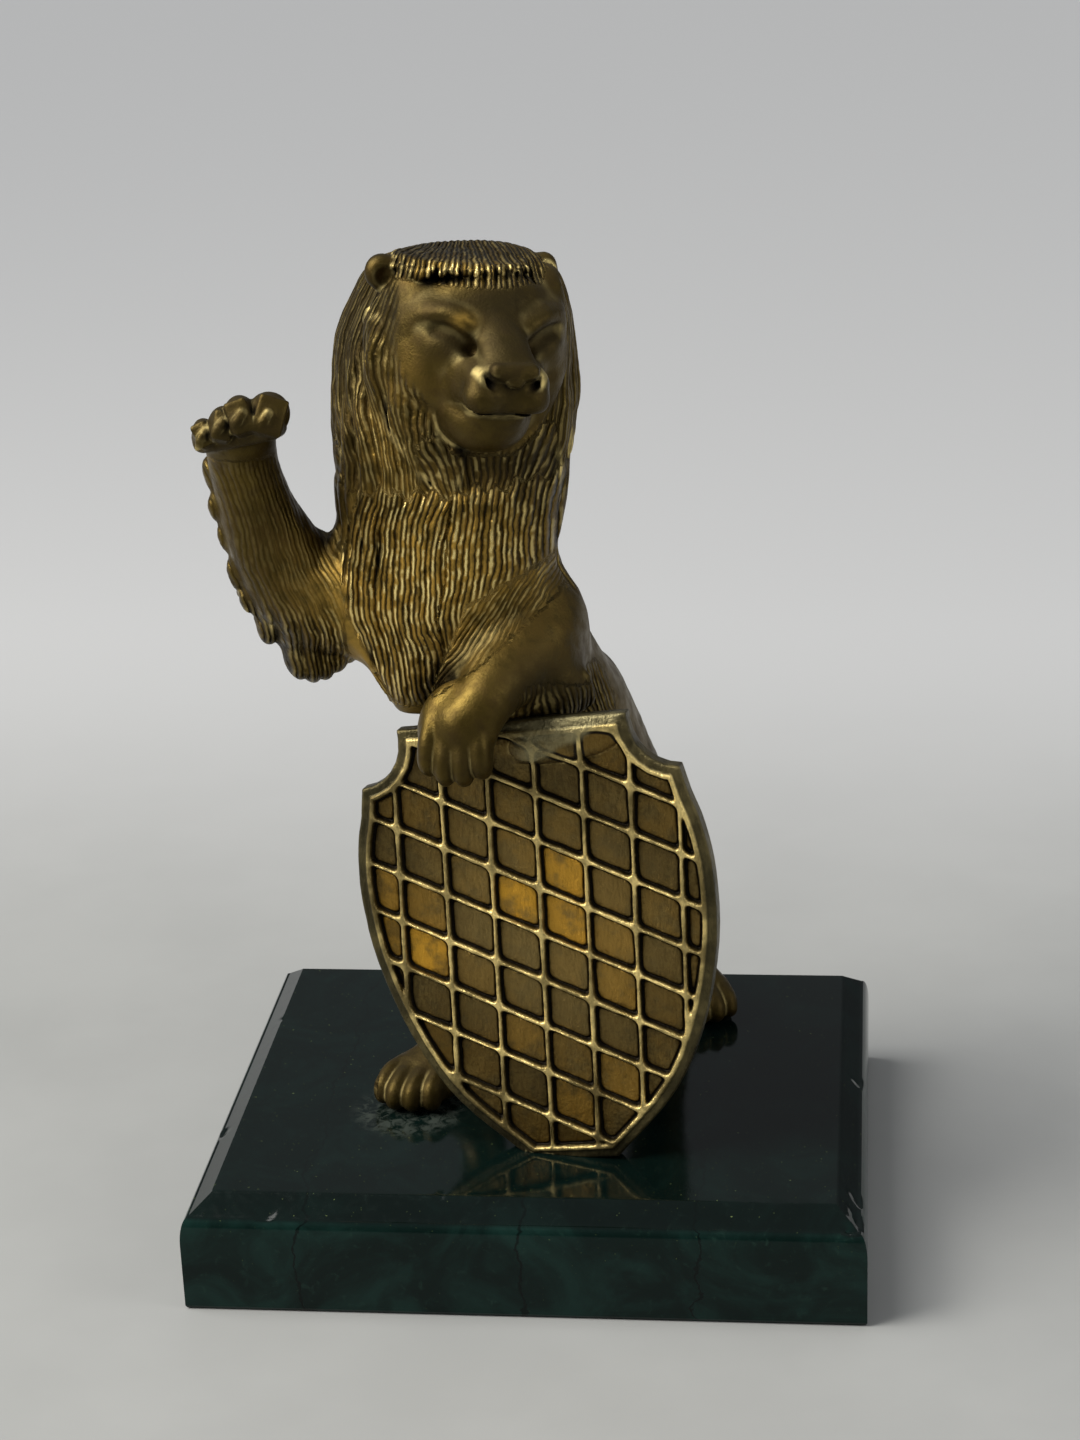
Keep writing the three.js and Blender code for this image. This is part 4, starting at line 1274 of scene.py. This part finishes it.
def store_hair(item, places):
    """Writes which strand each point is on, how strongly it shows and how far along it is."""
    store_layer(item, "hair", "FLOAT_VECTOR", np.column_stack(fur(*places.T)[1:]))


def lion_piece(outline):
    clay = sculpt_lion(outline)
    points, faces = largest_part(*clay.skin())
    item = make_object("lion_casting", points, faces)
    thin_out(item, LION_TRIANGLES)
    places = store_relief(item, clay, lambda p, n: (p, n))
    store_zones(item, places)
    store_hair(item, places)
    to_metres(item)
    return item


# Slab: rings of points round the marble, closer together at its edges

EDGE_TOP = 3.1
EDGE_ROUND_WIDTH = 1.4
EDGE_ROUND_DROP = 5
BEVEL_WIDTH = 4
RING_STEP = 0.9

# How many rings of points a chip reaches up or down
CHIP_ROWS = 2.6

# Chips: side (0 front, 1 right, 2 back, 3 left), middle, half length, depth, lower or upper edge (0 or 1)
CHIPS = [
    (0, 0.905, 3.2, 0.5, 1), (0, 0.945, 1.6, 0.35, 1), (0, 0.86, 1.1, 0.3, 1), (1, 0.03, 3.4, 0.9, 0),
    (1, 0.1, 2, 0.6, 0), (0, 0.985, 1.4, 0.7, 0), (0, 0.37, 0.8, 0.25, 1), (1, 0.55, 1.6, 0.5, 0),
    (2, 0.3, 1.8, 0.5, 0), (3, 0.7, 1.5, 0.5, 0), (0, 0.12, 0.9, 0.3, 0), (3, 0.25, 1, 0.3, 1),
]


def slab_profile(height):
    """Inset and height from the foot of the slab to the flat top, with rounded corners."""
    edge_top = height - EDGE_TOP
    rows = [[0.7, 0], [0.25, 0.2], [0, 0.7]]
    rows += [[0, share * (edge_top - EDGE_ROUND_DROP)] for share in (0.25, 0.5, 0.75, 1)]
    for step in range(1, 9):
        angle = step / 8 * math.pi / 2
        inset = EDGE_ROUND_WIDTH * (1 - math.cos(angle))
        rows.append([inset, edge_top - EDGE_ROUND_DROP * (1 - math.sin(angle))])
    for share in (0.12, 0.3, 0.5, 0.7, 0.88):
        rows.append([EDGE_ROUND_WIDTH + BEVEL_WIDTH * share, edge_top + EDGE_TOP * share])
    crease = EDGE_ROUND_WIDTH + BEVEL_WIDTH
    rows += [[crease - 0.12, height - 0.07], [crease + 0.06, height - 0.01]]
    rows += [[crease + 0.4, height], [crease + 2, height]]
    return np.array(rows)


def slab_round(width, depth):
    """Once round the slab: the side, how far along it, the place in half sizes, and the side's length."""
    corners = np.array([[-1, -1], [1, -1], [1, 1], [-1, 1]], float)
    around = []
    for side in range(4):
        start, end = corners[side], corners[(side + 1) % 4]
        length = width if side % 2 == 0 else depth
        steps = int(length / RING_STEP)
        for step in range(steps):
            around.append((side, step / steps, start + (end - start) * step / steps, length))
    return around


def chip_depth(side, along, length, row, edge_rows):
    """How deep a chip has broken the marble away at one point of a ring."""
    deepest = 0.0
    for chip_side, middle, half, depth, which in CHIPS:
        if chip_side != side:
            continue
        near = max(0.0, 1 - ((along - middle) * length / half) ** 2)
        reach = max(0.0, 1 - (abs(row - edge_rows[which]) / CHIP_ROWS) ** 2)
        ragged = 0.75 + 0.25 * math.sin(5 * along * length + row)
        deepest = max(deepest, depth * near * reach * ragged)
    return deepest


def slab_piece():
    width, depth, height = (slab_high - slab_low) / UNIT
    profile = slab_profile(height)
    insets = (EDGE_ROUND_WIDTH, EDGE_ROUND_WIDTH + BEVEL_WIDTH)
    edge_rows = [int(np.argmin(np.abs(profile[:, 0] - inset))) for inset in insets]
    around = slab_round(width, depth)
    count = len(around)
    points = []
    for row, (inset, z) in enumerate(profile):
        for side, along, corner, length in around:
            chip = chip_depth(side, along, length, row, edge_rows)
            x = corner[0] * (width / 2 - inset - chip * 0.7)
            y = corner[1] * (depth / 2 - inset - chip * 0.7)
            points.append([x, y, z - chip * 0.6])
    faces = []
    for low in range(0, (len(profile) - 1) * count, count):
        for step in range(count):
            after = (step + 1) % count
            faces.append([low + step, low + after, low + count + after, low + count + step])
    item = make_object("marble_slab", np.array(points), np.array(faces))
    close_ends(item, count)
    item.data.transform(Matrix.Scale(UNIT, 4))
    return item


def close_ends(item, count):
    """Closes the slab with one face below and one above, from the first and the last ring."""
    mesh = bmesh.new()
    mesh.from_mesh(item.data)
    bottom = mesh.faces.new(list(mesh.verts)[:count][::-1])
    top = mesh.faces.new(list(mesh.verts)[-count:])
    bmesh.ops.triangulate(mesh, faces=[bottom, top])
    bmesh.ops.recalc_face_normals(mesh, faces=mesh.faces)
    mesh.to_mesh(item.data)
    mesh.free()
    smooth_shade(item)
    item.data.set_sharp_from_angle(angle=math.radians(24))
    item.data.update()


# Materials

# Rubbed gold on the edges, and the painted highlights on the strands' crests
LION_BRIGHT = (1.0, 0.8, 0.32)
LION_GOLD = (0.62, 0.38, 0.07)
LION_MIDDLE = (0.1, 0.066, 0.01)
# Brown of the patina, also the painted shade in the hollows
LION_BROWN = (0.05, 0.03, 0.007)
LION_DARK = (0.026, 0.019, 0.0065)
# Painted shade, nearly black, in the grooves and between the strands
LION_GROOVE_SHADE = (0.005, 0.0032, 0.001)
SHIELD_BRIGHT = (0.85, 0.66, 0.26)
SHIELD_WORN = (0.32, 0.23, 0.08)
SHIELD_GOLD = (0.62, 0.33, 0.035)
SHIELD_MIDDLE = (0.13, 0.095, 0.032)
SHIELD_BROWN = (0.05, 0.036, 0.013)
SHIELD_RIM = (0.03, 0.027, 0.013)
SHIELD_PIT = (0.006, 0.004, 0.002)
WEB_SILVER = (0.27, 0.235, 0.12)
MARBLE_DEEP = (0.0022, 0.008, 0.0066)
MARBLE_GREEN = (0.006, 0.022, 0.018)
MARBLE_CLOUD = (0.018, 0.045, 0.034)
MARBLE_BLACK = (0.0012, 0.003, 0.0025)
MARBLE_SPECK = (0.13, 0.17, 0.06)
GLUE_HAZE = (0.05, 0.06, 0.05)
FLOOR_SHADE = (0.265, 0.27, 0.265)
FLOOR_NEAR = (0.285, 0.29, 0.285)
FLOOR_FAR = (0.44, 0.445, 0.45)

# Dark threads across the marble, where they start and how wide they are, and the glue left round a paw
MARBLE_THREADS = [(0, 0.5), (-39, 0.4), (31, 0.3)]
GLUE_PLACE = (-24, -14, 21)

# The middle of the shield's front, which handling has rubbed most and where the painted highlights on its
# ridges are strongest
RUBBED_AND_LIT_PLACE = (4, -26, 64)


class Nodes:
    """A short way to write a material's nodes."""

    def __init__(self, name):
        self.material = bpy.data.materials.new(name)
        self.material.use_nodes = True
        self.tree = self.material.node_tree
        self.shader = self.tree.nodes["Principled BSDF"]

    def new(self, kind, **settings):
        node = self.tree.nodes.new(kind)
        for name, value in settings.items():
            setattr(node, name, value)
        return node

    def link(self, source, target):
        self.tree.links.new(source, target)

    def place(self):
        """The place of a point in the object's own frame, in millimetres."""
        texture = self.new("ShaderNodeTexCoord")
        scale = self.new("ShaderNodeVectorMath", operation="SCALE")
        self.link(texture.outputs["Object"], scale.inputs[0])
        scale.inputs["Scale"].default_value = 1000
        return scale.outputs[0]

    def noise(self, place, scale, detail=4, roughness=0.55, distortion=0.0):
        node = self.new("ShaderNodeTexNoise")
        self.link(place, node.inputs["Vector"])
        node.inputs["Scale"].default_value = scale
        node.inputs["Detail"].default_value = detail
        node.inputs["Roughness"].default_value = roughness
        node.inputs["Distortion"].default_value = distortion
        return node.outputs["Fac"]

    def math(self, operation, a, b=None):
        node = self.new("ShaderNodeMath", operation=operation)
        for socket, value in zip(node.inputs, (a, b)):
            if value is None:
                continue
            if isinstance(value, (int, float)):
                socket.default_value = value
            else:
                self.link(value, socket)
        return node.outputs[0]

    def times(self, first, *others):
        for other in others:
            first = self.math("MULTIPLY", first, other)
        return first

    def plus(self, first, *others):
        for other in others:
            first = self.math("ADD", first, other)
        return first

    def less(self, first, other):
        return self.math("SUBTRACT", first, other)

    def span(self, value, low, high, to_low=0.0, to_high=1.0):
        node = self.new("ShaderNodeMapRange", interpolation_type="SMOOTHSTEP")
        self.link(value, node.inputs["Value"])
        for name, number in (("From Min", low), ("From Max", high), ("To Min", to_low), ("To Max", to_high)):
            node.inputs[name].default_value = number
        return node.outputs["Result"]

    def mix(self, share, first, second):
        node = self.new("ShaderNodeMix", data_type="RGBA")
        if isinstance(share, (int, float)):
            node.inputs[0].default_value = share
        else:
            self.link(share, node.inputs[0])
        for socket, colour in ((node.inputs[6], first), (node.inputs[7], second)):
            if isinstance(colour, tuple):
                socket.default_value = (*colour, 1)
            else:
                self.link(colour, socket)
        return node.outputs[2]

    def away(self, place, centre):
        """How far each place is from a centre."""
        node = self.new("ShaderNodeVectorMath", operation="DISTANCE")
        self.link(place, node.inputs[0])
        node.inputs[1].default_value = centre
        return node.outputs["Value"]

    def split(self, source, kind="ShaderNodeSeparateXYZ"):
        node = self.new(kind)
        self.link(source, node.inputs[0])
        return node.outputs[0], node.outputs[1], node.outputs[2]

    def channels(self, name):
        attribute = self.new("ShaderNodeAttribute", attribute_name=name)
        return self.split(attribute.outputs["Color"], "ShaderNodeSeparateColor")

    def vector(self, name):
        return self.split(self.new("ShaderNodeAttribute", attribute_name=name).outputs["Vector"])

    def join(self, *parts):
        node = self.new("ShaderNodeCombineXYZ")
        for socket, value in zip(node.inputs, parts):
            if isinstance(value, (int, float)):
                socket.default_value = value
            else:
                self.link(value, socket)
        return node.outputs[0]

    def bump(self, height, strength, distance):
        node = self.new("ShaderNodeBump")
        node.inputs["Strength"].default_value = strength
        node.inputs["Distance"].default_value = distance
        self.link(height, node.inputs["Height"])
        self.link(node.outputs["Normal"], self.shader.inputs["Normal"])


def brass_skin(nodes, place, colours):
    """Brass under a dark patina with rubbed edges: its tone, mottling, grooves and hollows."""
    bright, middle, brown = colours
    groove, hollow, edge = nodes.channels("relief")
    broad = nodes.noise(place, 0.045, 4)
    mottle = nodes.noise(place, 0.35, 5, 0.6)
    tone = nodes.mix(nodes.span(broad, 0.35, 0.65), middle, tuple(0.55 * c for c in middle))
    tone = nodes.mix(nodes.span(mottle, 0.42, 0.68, 0, 0.6), tone, brown)
    rubbed = nodes.times(nodes.span(edge, 0.15, 0.65), nodes.span(mottle, 0.35, 0.65, 0.3, 0.9))
    return nodes.mix(rubbed, tone, bright), mottle, groove, hollow


def finish_brass(nodes, tone, height, rough, depth):
    nodes.link(tone, nodes.shader.inputs["Base Color"])
    nodes.shader.inputs["Metallic"].default_value = 0.85
    nodes.link(rough, nodes.shader.inputs["Roughness"])
    nodes.bump(height, 1, depth)


def lion_brass():
    """Dark olive brass with combed hair: golden zones, painted highlights along the strands' crests, and
    painted shade between the strands and in the grooves and hollows.
    """
    nodes = Nodes("lion_brass_aged")
    place = nodes.place()
    tone, mottle, groove, hollow = brass_skin(nodes, place, (LION_BRIGHT, LION_MIDDLE, LION_BROWN))
    gold, dark = nodes.channels("zones")[:2]
    number, strength, course = nodes.vector("hair")
    wave = nodes.less(nodes.noise(place, 0.22, 3), 0.5)
    strand = nodes.plus(number, nodes.times(wave, 1.5))
    inside = nodes.math("ABSOLUTE", nodes.less(nodes.math("FRACT", strand), 0.5))
    ridge = nodes.span(inside, 0.5, 0.1)
    along = nodes.join(nodes.math("FLOOR", strand), nodes.times(course, 0.16), 0.0)
    streak = nodes.noise(along, 1.3, 2, 0.6)
    golden = nodes.times(gold, nodes.span(mottle, 0.3, 0.62, 0.2, 0.85))
    tone = nodes.mix(golden, tone, LION_GOLD)
    tone = nodes.mix(nodes.times(dark, 0.8), tone, LION_DARK)
    # Painted highlights: broken bright glints along the crests of the strands, strongest in the golden zones
    lit = nodes.times(nodes.span(inside, 0.33, 0.12), strength, nodes.span(streak, 0.46, 0.56))
    lit = nodes.times(lit, nodes.plus(nodes.times(gold, 0.85), 0.12))
    tone = nodes.mix(lit, tone, LION_BRIGHT)
    # Painted shade in the hollows
    tone = nodes.mix(nodes.span(hollow, 0.35, 0.95, 0, 0.75), tone, LION_BROWN)
    # Painted shade in the grooves between the strands and in the cut grooves
    between = nodes.times(nodes.span(inside, 0.26, 0.44), strength, nodes.span(streak, 0.35, 0.65, 0.95, 0.8))
    tone = nodes.mix(between, tone, LION_GROOVE_SHADE)
    tone = nodes.mix(nodes.span(groove, 0.15, 0.7, 0, 0.9), tone, LION_GROOVE_SHADE)
    grain = nodes.noise(place, 2.4, 4, 0.6)
    height = nodes.plus(nodes.times(ridge, strength, 1.1), nodes.times(mottle, 0.35))
    height = nodes.plus(height, nodes.times(grain, 0.16))
    rough = nodes.plus(nodes.span(groove, 0.1, 0.7, 0.4, 0.62), nodes.span(mottle, 0.3, 0.7, -0.06, 0.14))
    rough = nodes.plus(nodes.less(rough, nodes.times(lit, 0.26)), nodes.times(dark, 0.16))
    finish_brass(nodes, tone, height, rough, 0.00042)
    return nodes.material


def shield_brass():
    """Brass with bright ridges, dark lines beside them, a few golden cells and a silvery braze web."""
    nodes = Nodes("shield_brass_aged")
    place = nodes.place()
    tone, mottle, groove = brass_skin(nodes, place, (SHIELD_BRIGHT, SHIELD_MIDDLE, SHIELD_BROWN))[:3]
    gold, web, gap = nodes.channels("zones")
    grain = nodes.noise(place, 1.5, 5, 0.65)
    stretch = nodes.new("ShaderNodeVectorMath", operation="MULTIPLY")
    nodes.link(place, stretch.inputs[0])
    stretch.inputs[1].default_value = (1, 1, 0.25)
    scratches = nodes.noise(stretch.outputs[0], 1.9, 3, 0.6)
    worn = nodes.noise(place, 0.09, 3)
    cell = nodes.span(gap, 0.15, 0.4)
    pitted = nodes.times(cell, nodes.span(nodes.times(grain, scratches), 0.19, 0.33), 0.75)
    tone = nodes.mix(pitted, tone, SHIELD_BROWN)
    blotch = nodes.span(nodes.noise(place, 0.22, 4, 0.6), 0.34, 0.56, 0.3, 1)
    # Wear in the cells, with painted highlight, brightest at the middle of the front
    rubbed = nodes.span(nodes.away(place, RUBBED_AND_LIT_PLACE), 32, 8)
    tone = nodes.mix(nodes.times(rubbed, cell, 0.4), tone, SHIELD_WORN)
    tone = nodes.mix(nodes.times(gold, cell, blotch), tone, SHIELD_GOLD)
    # Bright ridge tops: rubbed brass, with painted highlights that grow towards the middle of the front
    top = nodes.times(nodes.span(gap, 0.0, -0.22), nodes.span(mottle, 0.3, 0.62, 0.3, 0.95))
    top = nodes.times(top, nodes.plus(nodes.span(worn, 0.4, 0.58, 0.15, 1), nodes.times(rubbed, 0.6)))
    tone = nodes.mix(top, tone, SHIELD_BRIGHT)
    tone = nodes.mix(nodes.span(gap, -0.75, -1.1, 0, 0.88), tone, SHIELD_RIM)
    beside = nodes.times(nodes.span(gap, -0.1, 0.08), nodes.span(gap, 0.6, 0.3), 0.95)
    tone = nodes.mix(beside, tone, SHIELD_PIT)
    tone = nodes.mix(nodes.times(web, nodes.span(mottle, 0.3, 0.7, 0.4, 0.95)), tone, WEB_SILVER)
    height = nodes.plus(nodes.times(mottle, 0.6), nodes.times(grain, 0.5), nodes.times(scratches, 0.5))
    rough = nodes.plus(nodes.span(groove, 0.1, 0.7, 0.32, 0.6), nodes.span(mottle, 0.3, 0.7, -0.04, 0.12))
    finish_brass(nodes, tone, height, rough, 0.00035)
    return nodes.material


def polished_marble():
    """Very dark green marble with clouds, dark threads, pale specks, hazy glue round the paw and painted
    shade on its upward faces.
    """
    nodes = Nodes("polished_marble")
    place = nodes.place()
    clouds = nodes.noise(place, 0.06, 6, 0.62, 1.2)
    fine = nodes.noise(place, 0.5, 6, 0.65, 0.6)
    upward = nodes.split(nodes.new("ShaderNodeNewGeometry").outputs["Normal"])[2]
    tone = nodes.mix(nodes.span(clouds, 0.4, 0.7), MARBLE_DEEP, MARBLE_GREEN)
    tone = nodes.mix(nodes.span(fine, 0.56, 0.75, 0, 0.4), tone, MARBLE_CLOUD)
    # Painted shade: the top and the bevel, which face upwards, are darkened towards black
    tone = nodes.mix(nodes.times(nodes.span(upward, 0.5, 0.75), 0.8), tone, MARBLE_BLACK)
    bend = nodes.times(nodes.less(nodes.noise(place, 0.12, 4, 0.6), 0.5), 9)
    for across, width in MARBLE_THREADS:
        away = nodes.math("ABSOLUTE", nodes.plus(nodes.less(nodes.split(place)[0], across), bend))
        tone = nodes.mix(nodes.span(away, width, 0.3 * width, 0, 0.8), tone, MARBLE_BLACK)
    specks = nodes.noise(place, 1.7, 3, 0.5)
    tone = nodes.mix(nodes.span(specks, 0.71, 0.78, 0, 0.7), tone, MARBLE_SPECK)
    smear = nodes.times(nodes.span(nodes.away(place, GLUE_PLACE), 12, 7), nodes.span(fine, 0.4, 0.62))
    tone = nodes.mix(nodes.times(smear, 0.5), tone, GLUE_HAZE)
    nodes.link(tone, nodes.shader.inputs["Base Color"])
    rough = nodes.plus(nodes.span(fine, 0.3, 0.8, 0.06, 0.16), nodes.times(smear, 0.4))
    nodes.link(rough, nodes.shader.inputs["Roughness"])
    nodes.shader.inputs["IOR"].default_value = 1.45
    nodes.shader.inputs["Specular IOR Level"].default_value = 0.2
    nodes.bump(fine, 0.05, 0.0002)
    return nodes.material


def pale_floor():
    """A plain floor, darker near the slab and paler towards the back."""
    nodes = Nodes("pale_floor")
    place = nodes.place()
    near = nodes.mix(nodes.span(nodes.noise(place, 0.02, 4), 0.3, 0.7), FLOOR_SHADE, FLOOR_NEAR)
    tone = nodes.mix(nodes.span(nodes.split(place)[1], 60, 330), near, FLOOR_FAR)
    nodes.link(tone, nodes.shader.inputs["Base Color"])
    nodes.shader.inputs["Roughness"].default_value = 0.55
    return nodes.material


# Stage: floor, lights and the photograph's camera

FLOOR_HALF = 6.0

# The sky: strength, angle in degrees, colour, and the way its light runs
SKY_STRENGTH = 3.0
SKY_ANGLE = 40
SKY_COLOUR = (1.0, 0.985, 0.96)
SKY_COURSE = (0.7, 0.1, -1)

# Lamps: name, place and size in metres, power and colour; all face the same place on the figure
LAMPS = [
    ("window", (-0.55, -0.25, 0.55), 0.35, 5, (1.0, 0.96, 0.88)),
    ("side", (0.6, -0.2, 0.35), 0.3, 1.2, (1.0, 0.98, 0.94)),
]
LAMPS_FACE = (0, 0, 0.09)

# The room's light from below and from above, where each begins, and its strength
ROOM_LIGHT = [(0.05, (0.1, 0.105, 0.11, 1)), (0.85, (0.75, 0.77, 0.8, 1))]
ROOM_STRENGTH = 0.55

# The photograph's camera, solved from the corners of the slab: degrees, millimetres and pixels
CAMERA_TURN = (-6.86, 20.95, -2.26)
CAMERA_PLACE = (60.1, -488.9, 281.3)
FOCAL_LENGTH = 2941
PHOTO_HEIGHT = 1440
SENSOR_WIDTH = 36


def floor():
    half = FLOOR_HALF
    corners = np.array([[-half, -half, 0], [half, -half, 0], [half, half, 0], [-half, half, 0]])
    item = make_object("floor", corners, np.array([[0, 1, 2, 3]]))
    item.data.materials.append(pale_floor())


def sky():
    data = bpy.data.lights.new("sky", "SUN")
    data.energy = SKY_STRENGTH
    data.angle = math.radians(SKY_ANGLE)
    data.color = SKY_COLOUR
    item = link_object("sky", data)
    item.rotation_euler = Vector(SKY_COURSE).to_track_quat("-Z", "Y").to_euler()


def lamps():
    for name, place, size, power, colour in LAMPS:
        data = bpy.data.lights.new(name, "AREA")
        data.size = size
        data.energy = power
        data.color = colour
        item = link_object(name, data)
        item.location = place
        item.rotation_euler = (Vector(LAMPS_FACE) - Vector(place)).to_track_quat("-Z", "Y").to_euler()


def room():
    """Soft light from all round, brighter from above."""
    world = bpy.data.worlds.new("studio")
    world.use_nodes = True
    tree = world.node_tree
    background = tree.nodes["Background"]
    place = tree.nodes.new("ShaderNodeTexCoord")
    split = tree.nodes.new("ShaderNodeSeparateXYZ")
    shade = tree.nodes.new("ShaderNodeValToRGB")
    tree.links.new(place.outputs["Generated"], split.inputs[0])
    tree.links.new(split.outputs["Z"], shade.inputs[0])
    tree.links.new(shade.outputs["Color"], background.inputs["Color"])
    for element, (position, colour) in zip(shade.color_ramp.elements, ROOM_LIGHT):
        element.position = position
        element.color = colour
    background.inputs["Strength"].default_value = ROOM_STRENGTH
    bpy.context.scene.world = world


def camera():
    yaw, pitch, roll = (math.radians(angle) for angle in CAMERA_TURN)
    forward = Vector((math.sin(yaw) * math.cos(pitch), math.cos(yaw) * math.cos(pitch), -math.sin(pitch)))
    level = Vector((math.cos(yaw), -math.sin(yaw), 0))
    upright = level.cross(forward)
    right = math.cos(roll) * level + math.sin(roll) * upright
    above = -math.sin(roll) * level + math.cos(roll) * upright
    data = bpy.data.cameras.new("photo")
    data.sensor_fit = "AUTO"
    data.sensor_width = SENSOR_WIDTH
    data.lens = SENSOR_WIDTH * FOCAL_LENGTH / PHOTO_HEIGHT
    data.clip_start = 0.01
    data.clip_end = 50
    item = link_object("photo", data)
    turn = Matrix((right, above, -forward)).transposed().to_4x4()
    item.matrix_world = Matrix.Translation(Vector(CAMERA_PLACE) * 0.001) @ turn
    bpy.context.scene.camera = item


outline = OutlineMap()
lion = lion_piece(outline)
lion.data.materials.append(lion_brass())
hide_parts("lion")
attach(lion, "root")

shield = shield_piece(outline)
shield.data.materials.append(shield_brass())
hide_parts("shield")
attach(shield, "root")

slab = slab_piece()
slab.data.materials.append(polished_marble())
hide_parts("marble_plinth")
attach(slab, "root")

floor()
sky()
lamps()
room()
camera()
bpy.context.scene.view_settings.view_transform = "Standard"
